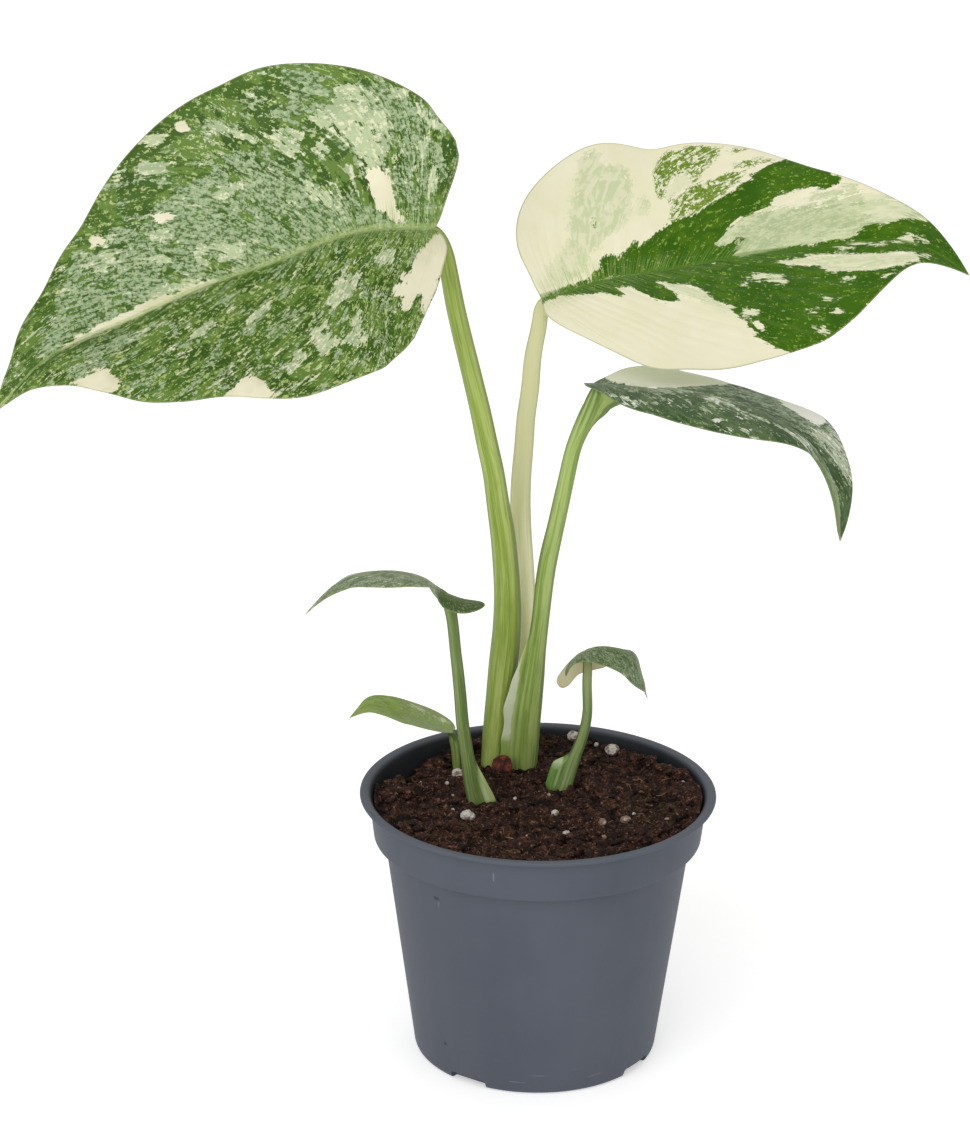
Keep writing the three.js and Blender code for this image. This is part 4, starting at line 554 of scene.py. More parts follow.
        ("P", [[113.9, 15.1], [116.5, 17.5], [116.9, 21.6], [119.6, 18.7], [123.5, 17.7], [125.9, 15.5], [128.5, 12.4], [131.6, 11.9], [127.7, 10.7], [124.7, 10], [121, 7.9], [118.3, 8.5], [116.6, 10.7]]),
        ("P", [[69.3, -12.4], [73.2, -12.4], [75.8, -13.1], [82.4, -14.7], [82.5, -17.4], [80.7, -18.4], [76.9, -17.3], [72.2, -15.8], [69.7, -14.7]]),
        ("P", [[91.8, -28.1], [95, -27.2], [97.7, -28.5], [95.5, -30.1], [92.9, -29.6]]),
        ("P", [[62.4, -29.3], [65.5, -29.5], [66.8, -31.7], [65.5, -33.8], [62.7, -32.8]]),
        ("C", [[64, -35.2], [66.9, -35.4], [67.9, -39.5], [66.3, -40.9], [64.7, -38.4]]),
        ("P", [[87.8, -41.6], [91.4, -41.2], [92.1, -42.4], [89.5, -43.2]]),
        ("P", [[102.8, -2.8], [106.1, -2], [109.2, -2.4], [106.3, -3.5]]),
        ("P", [[103, -4.2], [106.1, -4.4], [106.5, -5.7], [103.8, -5.5]]),
        ("P", [[107.5, -0.1], [117.6, -2.5], [122.9, -1.6], [134.2, 2.6], [122.9, -2.5], [117.5, -3.2]]),
        ("P", [[124, 0.3], [127.1, 2.2], [130.1, 3.1], [131.3, 1.8], [131, 0.5], [127.2, -0.6]]),
        ("P", [[101.7, -18.2], [106, -17.9], [105.7, -19.4], [102.3, -19.4]]),
        ("P", [[67.4, -12.5], [70.7, -12.2], [74.2, -12.9], [68, -16.3], [65.5, -17.3], [69.3, -15.1]]),
        ("P", [[116.8, -19.6], [119.6, -18], [122, -16.5], [120.8, -18.8], [117.6, -20.4]]),
        ("P", [[87.7, -32.9], [90.8, -31.6], [91.7, -32.7], [88.6, -34.1]]),
        ("P", [[96.4, -33.9], [99.8, -32.7], [100.2, -33.4], [97.4, -34.6]]),
        ("D", [[126, 0.5], [131, -7], [136, -14], [160, -14], [160, 7], [146, 7], [136, 3]]),
    ],
    "3": [
        ("G", [[20.7, -13.8], [25.6, -17.4], [26.6, -10.9], [27.7, 7.1], [34.6, 19.1], [39.2, 33.4], [44.3, 46.1], [49.9, 61], [58.4, 55], [65.4, 38.8], [70.9, 31.3], [74.4, 29.8], [77.6, 25.5], [81.6, 20.8], [85.7, 18.4], [91.1, 13.8], [94.4, 9.1], [91, 8.4], [87.6, 8.2], [82.8, 8], [77.7, 8.6], [73.6, 10.3], [69, 10.9], [63.3, 11.8], [58.1, 13.5], [53.6, 14.5], [49.1, 12.5], [43.7, 9.6], [39.7, 6.5], [35.8, 3.3], [36.3, -19.7], [32.7, -24.2], [27.9, -23.6]]),
        ("C", [[2.9, 5.5], [1.8, 11.9], [2.5, 18.1], [5.2, 25], [9.3, 31.4], [13.8, 36.7], [18.8, 38.2], [24, 41.5], [29.4, 40.4], [34.9, 37.3], [39, 35.3], [37.8, 23.4], [34.6, 19.1], [31.2, 11.3], [26.7, 6.5], [26.6, -10.9], [25.6, -17.4], [20.7, -13.8], [10.4, 3.9], [5.7, 3.9]]),
        ("C", [[57.4, 33.1], [58.4, 55], [65.7, 36.9], [70.7, 32.4], [74.2, 25.6], [73.9, 19.9], [71.3, 18.5], [67.8, 18.5], [64, 22.9], [59.2, 26.4]]),
        ("P", [[73.7, 28], [77.6, 25.5], [81.6, 20.8], [85.7, 18.4], [91.1, 13.8], [92.3, 9.5], [87.6, 8.2], [82.8, 8], [77.7, 8.6], [73.6, 10.3], [71, 12.9], [74.1, 19.2]]),
        ("P", [[41.6, -21.8], [43.1, 0.6], [52.5, -22.4], [58, -23.1], [64.8, -21.8], [70.4, -20.4], [76.6, 0.9], [78.3, -19.3], [76.9, -21.1], [70.6, -23.6], [64.8, -24.3], [58, -25.3], [52.5, -24.9], [46.8, -23.5]]),
        ("P", [[32.2, -29.9], [33.3, -28], [34.7, -29.4], [33.6, -31.4]]),
        ("P", [[13.6, -28.7], [17, -28.3], [21.5, -30], [25.5, -32], [26.1, -34.6], [22.4, -34], [17.8, -32.9], [14.6, -30.9]]),
        ("P", [[53.3, -35.9], [55.3, -34.5], [56.7, -35.6], [55.2, -37.3]]),
        ("P", [[57.8, -34], [60.2, -32.8], [61.2, -34.1], [58.9, -35.5]]),
        ("P", [[49, -33.2], [50.6, -31.5], [51.4, -33.2], [50.2, -34.5]]),
    ],
    "4": [
        ("C", [[2, 2.5], [6, 5], [12, 6.5], [20, 7.5], [24, 11], [24, 16], [-4, 16], [0, 8]]),
        ("P", [[38, 2], [31, 3], [27, 6], [27, 11], [33, 9], [40, 5]]),
    ],
    "5": [
        ("G", [[-2, -9], [14, -9], [19, -3], [18, 4], [21, 9], [-2, 9]]),
        ("P", [[8, 4], [4.8, 6], [1.5, 3.2], [2.5, 1.5], [5, 2]]),
        ("P", [[17, 5.7], [12, 6.2], [9, 4.5], [14, 4]]),
    ],
    "6": [
        ("P", [[-6, -1.5], [2.6, -1.2], [1, 3], [-5, 3]]),
    ],
}
WORLD, KEY, FILL, BACK, GLOW = 0.56, 17.5, 4.2, 3.6, 0.40


# ------------------------------------------------------------------ leaf blades
class Surface:
    """flat leaf coordinates (x along the midrib, y across, far half positive) to space"""

    def __init__(s, d):
        P = np.asarray(d["mid"], float)
        t = chord(P)
        s.c = natcubic(t, P)
        s.tt = np.linspace(0, t[-1], 400)
        s.l = chord(s.c(s.tt))
        s.L = s.l[-1]
        ch = s.c(np.array([t[-1] * 0.7]))[0] - P[0]
        A = np.cross(ch, [0, 0, 1.0])
        A /= np.linalg.norm(A)
        s.A = A if A[1] > 0 else -A
        s.ns = 1.0 if np.cross(s.c(np.array([0.0]), 1)[0], s.A)[2] > 0 else -1.0
        s.roll, s.ff, s.fn, s.cf, s.cn = [pchip(d["st"], d[k]) for k in ("roll", "ff", "fn", "cf", "cn")]
        s.kl = d["kl"]
        s.back = d["back"]

    def frame(s, x):
        xc = np.clip(x, 0, s.L)
        q = np.interp(xc, s.l, s.tt)
        P = s.c(q)
        T = s.c(q, 1)
        T /= np.linalg.norm(T, axis=-1, keepdims=True)
        P = P + T * (x - xc)[..., None]
        L = s.A - T * (T @ s.A)[..., None]
        L /= np.linalg.norm(L, axis=-1, keepdims=True)
        N = s.ns * np.cross(T, L)
        r = np.radians(s.roll(x / s.L))[..., None]
        return P, T, np.cos(r) * L + np.sin(r) * N, -np.sin(r) * L + np.cos(r) * N

    def at(s, x, y, side):
        P, T, L, N = s.frame(x)
        u = x / s.L
        a = np.abs(y)
        p = np.radians(np.where(side > 0, s.ff(u), s.fn(u)))
        k = np.radians(np.where(side > 0, s.cf(u), s.cn(u))) / s.kl
        k = np.where(np.abs(k) < 1e-6, 1e-6, k)
        c = (np.sin(p + k * a) - np.sin(p)) / k
        h = (np.cos(p) - np.cos(p + k * a)) / k
        xb = np.minimum(x, 0)
        return P + L * (side * c)[..., None] + N * (h - s.back * xb * xb)[..., None]

    def normal(s, x, y):
        N = s.frame(x)[3]
        out = np.zeros_like(N)
        e = 0.05
        for sd in (1.0, -1.0):
            use = (np.sign(y) == sd) | (np.abs(y) < 0.01)
            a = np.maximum(np.abs(y), e)
            side = np.full_like(x, sd)
            gx = s.at(x + e, sd * a, side) - s.at(x - e, sd * a, side)
            gy = s.at(x, sd * (a + e), side) - s.at(x, sd * (a - e), side)
            n = np.cross(gx, gy)
            n /= np.maximum(np.linalg.norm(n, axis=-1, keepdims=True), 1e-12)
            n = np.where((n * N).sum(-1, keepdims=True) < 0, -n, n)
            out += n * use[..., None]
        return out / np.linalg.norm(out, axis=-1, keepdims=True)


# where the side veins leave the midrib: margin x to foot x, for a leaf 155.9 mm long
FOOT = {
    1: ([-8, -3, 5, 25, 37, 55, 85, 115, 135, 148, 155.9], [0, 0.3, 3, 9, 18, 26, 38, 62, 92, 125, 155.9]),
    -1: ([0, 14, 20, 62, 90, 115, 135, 148, 155.9], [0, 0.4, 1.6, 9, 24, 46, 80, 118, 155.9]),
}


def blade(name, d, spacing, cols, thick, rib, relief, patches, gran, material, slot, seed):
    S = Surface(d)
    L = S.L
    k = L / 155.9
    sides = {}
    for side in (1, -1):
        pts = np.array(d["far"] if side > 0 else d["near"], float)
        t = chord(pts)
        cur = natcubic(t, pts)
        N = 1600
        s = t[-1] * np.arange(N + 1) / N
        B = cur(s)
        B[0] = (0, 0)
        B[N] = (L, 0)
        turn = int(np.argmin(B[: N // 2, 0]))
        fx, fa = FOOT[side]
        a = np.interp(B[:, 0], np.array(fx) * k, np.array(fa) * k)
        a[: turn + 1] = 0
        a = np.maximum.accumulate(a)
        s0 = int(np.max(np.nonzero(a < 0.02 * k)[0])) if (a < 0.02 * k).any() else turn
        a[: s0 + 1] = 0
        a += np.where(np.arange(N + 1) > s0, 1e-4 * (np.arange(N + 1) - s0), 0)
        a[N] = L
        sides[side] = dict(s=s, B=B, a=a, s0=s0, total=t[-1], cur=cur)
    feet = []
    for side, q in sides.items():
        m = max(8, int(round((q["total"] - q["s"][q["s0"]]) / (2 * spacing))))
        u = np.linspace(q["s"][q["s0"]], q["total"], m + 1)[1:-1]
        feet.append(np.interp(u, q["s"], q["a"]))
    feet.append(np.arange(1, int(L / (spacing * 2.2))) * spacing * 2.2)
    feet = np.sort(np.concatenate(feet))
    keep = [0.0]
    for f in feet:
        if f - keep[-1] > 0.12 * spacing and f < L - 0.15:
            keep.append(f)
    feet = np.array(keep)
    R = len(feet)
    X, Y, V, SD, RIM = [], [], [], [], []  # flat x, y, vein coordinates, side, distance to the margin

    def node(x, y, v, side):
        X.append(x)
        Y.append(y)
        V.append(v)
        SD.append(side)
        return len(X) - 1

    mid = [node(f, 0.0, (0, 0, 0), 0) for f in feet]
    tip = node(L, 0.0, (0, 0, 0), 0)
    quads, tris, loops = [], [], {}
    uu = (np.arange(1, cols + 1) / cols) ** 1.2
    for side, q in sides.items():
        s, B, a, s0 = q["s"], q["B"], q["a"], q["s0"]
        nf = max(6, int(round(s[s0] / spacing)))
        rows = []
        for j in range(1, nf):
            rows.append((0.0, mid[0], s[s0] * (j / nf) ** 0.9))
        for f, mi in zip(feet, mid):
            rows.append((f, mi, np.interp(f, a[s0:], s[s0:])))
        grid = []
        for f, mi, sm in rows:
            b = q["cur"](np.array([sm]))[0]
            e = b - np.array([f, 0])
            ln = np.hypot(*e)
            back = -np.array([abs(e[1]), -e[0] * np.sign(e[1] or 1)]) / max(ln, 1e-6)  # square to the row, away from the tip
            bend = 0.075 * smooth(0, 8 * k, b[0]) * smooth(0, 12 * k, f + b[0] * 0.4) * float(smooth(L, L * 0.8, b[0]) * 0.7 + 0.3)
            ids = [mi]
            for u in uu:
                p = np.array([f, 0]) + e * u + back * bend * ln * 4 * u * (1 - u)
                if side * p[1] < 0:
                    p[1] = side * 1e-3
                ids.append(node(p[0], p[1], (sm, ln * u, side), side))
            grid.append(ids)
        grid.append([tip] * (cols + 1))
        G_ = np.array(grid)
        A_, D_, E_, F_ = G_[:-1, :-1].ravel(), G_[:-1, 1:].ravel(), G_[1:, :-1].ravel(), G_[1:, 1:].ravel()
        qd = np.stack([A_, E_, F_, D_], 1) if side > 0 else np.stack([A_, D_, F_, E_], 1)
        for row in qd:
            u_ = list(dict.fromkeys(row.tolist()))
            if len(u_) == 4:
                quads.append(u_)
            elif len(u_) == 3:
                tris.append(u_)
        loops[side] = grid[0] + [g[cols] for g in grid[1:]]
    X = np.array(X)
    Y = np.array(Y)
    V = np.array(V, float)
    SD = np.array(SD, float)
    loop = loops[1] + loops[-1][:-1][::-1]
    loop = loop[:-1]
    n = len(X)
    # vein coordinates of the midrib nodes come from their neighbours on the far side
    fm = len(mid)
    far_s = np.interp(feet, sides[1]["a"][sides[1]["s0"] :], sides[1]["s"][sides[1]["s0"] :])
    V[:fm, 0] = far_s
    V[n - 1 if tip == n - 1 else tip] = (sides[1]["total"], 0, 0)
    # rim nodes sit a little outside the outline, halfway between the two skins
    lp = np.array(loop)
    P2 = np.stack([X[lp], Y[lp]], 1)
    tg = np.roll(P2, -1, 0) - np.roll(P2, 1, 0)
    tg /= np.maximum(np.linalg.norm(tg, axis=1, keepdims=True), 1e-6)
    area = 0.5 * np.sum(P2[:, 0] * np.roll(P2[:, 1], -1) - np.roll(P2[:, 0], -1) * P2[:, 1])
    nrm = np.stack([tg[:, 1], -tg[:, 0]], 1) * np.sign(area)
    # distance to the margin, for the thinning edge and the pale rim line
    rim_d = np.full(n, 1e9)
    seg = np.concatenate([P2, P2[:1]])
    for i in range(0, len(seg) - 1):
        aa, bb = seg[i], seg[i + 1]
        e = bb - aa
        w0 = X - aa[0]
        w1 = Y - aa[1]
        tt = np.clip((w0 * e[0] + w1 * e[1]) / max(e @ e, 1e-9), 0, 1)
        rim_d = np.minimum(rim_d, (w0 - tt * e[0]) ** 2 + (w1 - tt * e[1]) ** 2)
    rim_d = np.sqrt(rim_d)
    thin = 0.55 + 0.45 * smooth(0, 2.5, rim_d)
    # surface relief: gentle waves along the side veins, a groove on the midrib and small swellings
    side = np.where(SD == 0, 1.0, SD)
    ax = np.abs(Y)
    xm = np.clip(X / L, 0, 1)
    vein_ph = V[:, 0] / (9.5 * max(k, 0.35))
    fade = smooth(0, 6, rim_d) * smooth(0, 5 * max(k, 0.3), V[:, 1])
    wave = -np.abs(np.sin(math.pi * vein_ph + 0.6 * vnoise(np.stack([V[:, 0] * 0.05, V[:, 1] * 0.05, V[:, 2]], 1), seed)))
    puff = fbm(np.stack([X * 0.09, Y * 0.09, side * 3], 1), 3, 0.5, seed + 3)
    small = fbm(np.stack([V[:, 0] * 0.55, V[:, 1] * 0.22, V[:, 2]], 1), 2, 0.5, seed + 5)
    h = relief * fade * (-0.30 * wave + 0.55 * puff + 0.12 * small)
    edge_wave = relief * 1.1 * smooth(9, 0, rim_d) * smooth(0, 10 * k, X + 12 * k) * smooth(L, 0.8 * L, X) * vnoise(np.stack([X * 0.06 / max(k, 0.3), side * 5.0, 0 * X], 1), seed + 9)
    h = h + edge_wave
    w_rib = rib * (1 - 0.72 * xm)
    groove = 0.16 * w_rib * np.exp(-((Y / (0.55 * w_rib)) ** 2)) * smooth(-1.5, 1.0, X) * smooth(1.0, 0.93, xm)
    depth = 0.9 * w_rib * np.sqrt(np.clip(1 - (Y / w_rib) ** 2, 0, 1)) * smooth(-1.6, 1.2, X) * smooth(1.005, 0.97, xm)
    Nn = S.normal(X, Y)
    C = S.at(X, Y, side)
    top = C + Nn * (thick / 2 * thin + h - groove)[:, None]
    bot = C + Nn * (-thick / 2 * thin + h - depth)[:, None]
    rimc = 0.5 * (top[lp] + bot[lp])
    out3 = S.at(X[lp] + nrm[:, 0] * 0.3, Y[lp] + nrm[:, 1] * 0.3, side[lp]) - C[lp]
    out3 /= np.maximum(np.linalg.norm(out3, axis=1, keepdims=True), 1e-9)
    rimc = rimc + out3 * (thick * 0.28)
    m = len(lp)
    co = np.concatenate([top, bot, rimc])
    quads = np.array(quads)
    tris = np.array(tris).reshape(-1, 3)
    i0 = lp
    i1 = np.roll(lp, -1)
    r0 = 2 * n + np.arange(m)
    r1 = 2 * n + (np.arange(m) + 1) % m
    # the loop runs the same way round as the skin's faces or against it
    es = set()
    for f in list(quads) + list(tris):
        for p_, q_ in zip(f, np.roll(f, -1)):
            es.add((int(p_), int(q_)))
    fwd = (int(i0[0]), int(i1[0])) in es
    up = np.stack([i1, i0, r0, r1], 1) if fwd else np.stack([i0, i1, r1, r0], 1)
    dn = np.stack([n + i0, n + i1, r1, r0], 1) if fwd else np.stack([n + i1, n + i0, r0, r1], 1)
    allq = np.concatenate([quads, quads[:, ::-1] + n, up, dn])
    allt = np.concatenate([tris, tris[:, ::-1] + n]) if len(tris) else tris
    # attributes
    FX = np.concatenate([X, X, X[lp] + nrm[:, 0] * 0.25])
    FY = np.concatenate([Y, Y, Y[lp] + nrm[:, 1] * 0.25])
    sd3 = np.concatenate([side, side, side[lp]])
    attrs = {
        "flat": np.stack([FX, FY, sd3 * 2.0], 1),
        "vein": np.concatenate([V, V, V[lp]]) * [1, 1, 3.0],
        "under": np.concatenate([np.zeros(n), np.ones(n), np.full(m, 0.5)]),
        "rim": np.concatenate([rim_d, rim_d, np.zeros(m)]),
        "ribw": np.concatenate([ax / np.maximum(w_rib, 0.2)] * 2 + [(ax / np.maximum(w_rib, 0.2))[lp]]),
    }
    P = np.stack([X, Y], 1)
    for cls in "DGPCSW":
        f = np.full(n, -8.0)
        for c_, poly in patches:
            if c_ == cls:
                f = np.maximum(f, poly_distance(P, poly))
        f = np.clip(f, -8, 8)
        attrs["sd" + cls] = np.concatenate([f, f, f[lp]])
    g = gran(X, Y, side)
    attrs["gran"] = np.concatenate([g, g, g[lp]])
    # bake layout: upper skin large, lower skin small beside it
    y0, y1, x0 = FY.min() - 1, FY.max() + 1, FX.min() - 1
    ln = FX.max() + 1 - x0
    sc = min(0.98 / ln, 0.755 / (y1 - y0))
    uvt = np.stack([0.01 + (FX - x0) * sc, 0.01 + (FY - y0) * sc], 1)
    sb = 0.215 / (y1 - y0)
    sb = min(sb, 0.98 / ln)
    uvb = np.stack([0.01 + (FX - x0) * sb, 0.775 + (y1 - FY) * sb], 1)

    def loop_uv(faces, table):
        return table[np.asarray(faces).ravel()]

    uv = np.concatenate(
        [loop_uv(quads, uvt), loop_uv(quads[:, ::-1] + n, uvb), loop_uv(up, uvt), loop_uv(dn, uvb)]
        + ([loop_uv(tris, uvt), loop_uv(tris[:, ::-1] + n, uvb)] if len(tris) else [])
    )
    ob = make_mesh(name, co, allq, allt, attrs, uv, (material,))
    piece(ob, slot, name.replace("blade_", "leaf_"))
    return ob


DARK = lin(50, 80, 16)
DARK2 = lin(68, 100, 25)
MID = lin(102, 131, 54)
GREY = lin(140, 160, 120)
PALE = lin(190, 201, 156)
CREAM = lin(233, 228, 198)


def leaf_material(name, base, p):
    """base: 'C' cream ground or 'D' green ground. Every tone is a ragged field of its own that runs with the side veins;
    the drawn patches raise or lower it"""
    g = Graph(name)
    flat = g.attr("flat", "Vector")
    vein = g.attr("vein", "Vector")
    sf = p.get("fine", 1.0)
    sd = p["seed"]
    dark, dark2, mid_, grey, pale, cream = (p.get(k, v) for k, v in dict(dark=DARK, dark2=DARK2, mid=MID, grey=GREY, pale=PALE, cream=CREAM).items())
    fleck = p.get("fleck", lin(174, 192, 118))

    def along(sx, sy, k, detail=6.0, rough=0.68, dist=0.5):
        return g.noise(g.scaled(vein, sx * sf, sy * sf, 1.0, (sd + k, sd * 0.7 - k, 0)), 1.0, detail, rough, dist)

    def plain(sc_, k, detail=3.0, rough=0.6):
        return g.noise(g.scaled(flat, sc_ * sf, sc_ * sf, 1.0, (sd * 2 + k, k * 0.7, sd)), 1.0, detail, rough, 0.4)

    n_tone = g.sum(g.math("MULTIPLY", along(0.17, 0.085, 1.3, 5.0, 0.64), 0.6), g.math("MULTIPLY", plain(0.15, 2.1, 5.0, 0.66), 0.4))
    n_grey = g.sum(g.math("MULTIPLY", along(0.21, 0.10, 9.2, 6.0, 0.66, 0.8), 0.6), g.math("MULTIPLY", plain(0.12, 4.4, 6.0, 0.68), 0.4))
    n_pale = g.sum(g.math("MULTIPLY", along(0.30, 0.13, 17.7, 6.0, 0.66, 0.9), 0.62), g.math("MULTIPLY", plain(0.20, 7.9, 6.0, 0.68), 0.38))
    n_spk = g.math("SUBTRACT", g.sum(g.math("MULTIPLY", along(0.70, 0.30, 5.1, 4.0, 0.64, 0.6), 0.84), g.math("MULTIPLY", plain(0.56, 5.6, 4.0, 0.64), 0.54)), 0.19)
    n_fine = plain(1.05, 3.3, 3.0, 0.6)
    n_big = plain(0.07, 6.2, 2.0, 0.5)
    gran = g.attr("gran")

    def cen(v, k):
        return g.math("MULTIPLY_ADD", v, k, -0.5 * k)

    wob = g.math("MULTIPLY", g.sum(cen(n_pale, 26.0), cen(n_spk, 11.0), cen(n_fine, 3.0)), p.get("ragged", 1.0))

    def mask(cls, soft=0.22, k=1.0, bias=0.0):
        v = g.math("ADD", g.attr("sd" + cls), g.math("MULTIPLY_ADD", wob, k, bias))
        return g.rng(v, -soft, soft)

    def lift(cls, amount, width=3.0):
        return g.rng(g.attr("sd" + cls), -width, width * 0.7, 0.0, amount)

    # green tissue: deep green and mid green islands with pale granules between them
    t0 = p.get("t_mid", 0.5)
    green = g.mix(g.rng(n_big, 0.35, 0.65), dark, dark2)
    green = g.mix(g.rng(n_fine, 0.40, 0.62, 0.0, 0.25), green, dark2)
    green = g.mix(g.rng(n_tone, t0, t0 + 0.02, 0.0, p.get("mid_amount", 0.85)), green, mid_)
    spk = g.sum(g.math("MULTIPLY", n_spk, 0.62), g.math("MULTIPLY", n_fine, 0.38), g.math("MULTIPLY_ADD", gran, 0.12, -0.12 * 0.45), cen(n_pale, p.get("cluster", 0.12)))
    ts = p.get("t_spk", 0.545)
    green = g.mix(g.rng(spk, ts, ts + 0.02, 0.0, 0.85), green, fleck)
    # grey green tissue, itself flecked with green and pale lines
    greyc = g.mix(g.rng(n_fine, 0.40, 0.60, 0.0, 0.6), grey, g.mix(0.5, grey, pale))
    greyc = g.mix(g.rng(spk, 0.478, 0.464, 0.0, p.get("grey_green", 0.9)), greyc, g.mix(g.rng(n_fine, 0.42, 0.58, 0.25, 0.75), dark, mid_))
    greyc = g.mix(g.rng(spk, 0.550, 0.565, 0.0, 0.7), greyc, pale)
    # pale tissue with faint green clouds
    palec = g.mix(g.rng(n_tone, 0.47, 0.55, 0.0, 0.55), pale, grey)
    palec = g.mix(g.rng(spk, 0.53, 0.56, 0.0, 0.7), palec, cream)
    creamc = g.mix(g.rng(n_big, 0.3, 0.7), cream, p.get("cream2", lin(216, 213, 178)))
    if base == "C":
        ground = g.mix(g.rng(n_grey, 0.47, 0.53), pale, grey)
        ground = g.mix(g.rng(spk, 0.53, 0.56, 0.0, 0.7), ground, g.mix(0.6, pale, cream))
        ground = g.mix(mask("W", 0.8, 2.6), creamc, ground)
        col = g.mix(mask("D"), ground, green)
        if "G" in p["uses"]:
            gg = g.mix(g.rng(n_spk, 0.46, 0.60, 0.0, 0.9), grey, pale)
            col = g.mix(g.math("MULTIPLY", mask("G", 0.9, 2.6), 0.75), col, gg)
        if "P" in p["uses"]:
            col = g.mix(g.math("MULTIPLY", mask("P", 0.6, 1.9), g.rng(n_big, 0.2, 0.4, 0.8, 1.0)), col, g.mix(g.rng(n_pale, 0.46, 0.54, 0.0, 0.8), pale, g.mix(0.7, pale, cream)))
        if "S" in p["uses"]:
            tone = g.mix(g.rng(n_fine, 0.42, 0.56), pale, cream)
            olive = g.mix(g.rng(n_fine, 0.44, 0.56), p.get("olive", lin(104, 132, 38)), g.mix(0.4, fleck, p.get("olive", lin(104, 132, 38))))
            col = g.mix(mask("S", 0.25, 1.6, 0.3), col, g.mix(g.rng(g.sum(g.math("MULTIPLY", n_spk, 0.62), g.math("MULTIPLY", n_pale, 0.38)), 0.512, 0.530), olive, tone))
        if "C" in p["uses"]:
            col = g.mix(mask("C", 0.2, 0.3), col, creamc)
    else:
        down = lift("D", p.get("d_down", 0.10)) if "D" in p["uses"] else 0.0
        vg = g.sum(n_grey, lift("G", p.get("g_up", 0.10), 4.0)) if "G" in p["uses"] else n_grey
        vp = g.sum(n_pale, lift("P", p.get("p_up", 0.155), 2.0)) if "P" in p["uses"] else n_pale
        if "D" in p["uses"]:
            vg = g.math("SUBTRACT", vg, down)
            vp = g.math("SUBTRACT", vp, down)
        tg, tp = p.get("t_grey", 0.552), p.get("t_pale", 0.583)
        # the borders of the tones are split once more by fine streaks
        vg = g.sum(vg, cen(spk, 0.20))
        vp = g.sum(vp, cen(spk, 0.22))
        col = g.mix(g.rng(vg, tg, tg + 0.012), green, greyc)
        col = g.mix(g.rng(vp, tp, tp + 0.012), col, palec)
        if "C" in p["uses"]:
            col = g.mix(mask("C", 0.2, p.get("cwob", 0.34), p.get("cbias", 0.0)), col, creamc)
    sep = g.add("ShaderNodeSeparateXYZ", {0: flat}).outputs
    # a darker or paler basal part
    if "base_tone" in p:
        x0, x1, tone, amt = p["base_tone"]
        col = g.mix(g.math("MULTIPLY", g.rng(g.sum(sep[0], cen(n_pale, 6.0)), x0, x1), amt), col, g.mix(g.rng(n_spk, 0.52, 0.60, 0.0, 0.5), tone, grey))
    # painted shade: a deeper green strip under the midrib on the near half, where that half tilts away from the light
    if "near_rib_shade" in p:
        amt, wid, tone = p["near_rib_shade"]
        st = g.math("MULTIPLY", g.rng(g.sum(sep[1], cen(n_pale, 22.0)), -wid, -wid * 0.45), g.math("LESS_THAN", sep[1], -0.3))
        st = g.math("MULTIPLY", st, g.math("MULTIPLY", g.rng(sep[0], 1.0, 9.0), g.rng(sep[0], p["L"] * 0.97, p["L"] * 0.8)))
        col = g.mix(g.math("MULTIPLY", st, amt), col, g.mix(g.rng(spk, 0.57, 0.59, 0.0, 0.6), tone, fleck))
    # midrib and fine lines beside it
    ribw = g.attr("ribw")
    lines = g.noise(g.scaled(vein, 1.9, 0.02, 1.0), 1.0, 1.0, 0.5)
    near_rib = g.math("MULTIPLY", g.rng(ribw, 5.5, 1.0), g.rng(sep[0], p["L"] * p.get("line_to", 0.5), 0.0, 0.0, 1.0))
    col = g.mix(g.math("MULTIPLY", near_rib, g.rng(lines, 0.53, 0.58, 0.0, 0.9)), col, p.get("line", lin(160, 182, 112)))
    rib_m = g.math("MULTIPLY", g.rng(ribw, 0.95, 0.5), p.get("rib_amount", 0.7))
    col = g.mix(rib_m, col, g.mix(g.rng(n_spk, 0.45, 0.58), p.get("rib", lin(138, 164, 84)), p.get("rib2", p.get("rib", lin(138, 164, 84)))))
    # thin line along the very edge
    col = g.mix(g.rng(g.attr("rim"), 0.40, 0.1, 0.0, p.get("rim_amount", 0.45)), col, p.get("rim", lin(150, 160, 110)))
    under = g.attr("under")
    ucol = g.mix(p.get("under_mix", 0.5), g.mix(1.0, col, lin(232, 236, 210), "MULTIPLY"), p.get("under", lin(150, 168, 118)))
    if "under_base" in p:
        x0, x1, tone = p["under_base"]
        ucol = g.mix(g.rng(sep[0], x0, x1), ucol, tone)
    col = g.mix(g.rng(under, 0.5, 0.9, 0.0, p.get("under_amount", 1.0)), col, ucol)
    rough = g.rng(g.sum(n_fine, g.math("MULTIPLY", under, 0.5)), 0.3, 1.2, p.get("r0", 0.42), p.get("r1", 0.60), "LINEAR")
    hgt = g.sum(g.math("MULTIPLY", n_spk, 0.6), g.math("MULTIPLY", n_fine, 0.4), g.math("MULTIPLY", g.noise(g.scaled(flat, 3.2, 3.2, 1.0), 1.0, 2.0), 0.25))
    nb = g.bump(hgt, p.get("bump", 0.3), 0.0002)
    return g.finish(col, rough, nb, Specular_IOR_Level=p.get("spec", 0.2), Subsurface_Weight=0.0)


def const(v):
    return lambda X, Y, s: np.full(len(X), float(v))


def patches(key):
    return [(c, np.array(q, float)) for c, q in PATCH.get(key, [])]


LEN = {k: Surface(v).L for k, v in LEAF.items()}

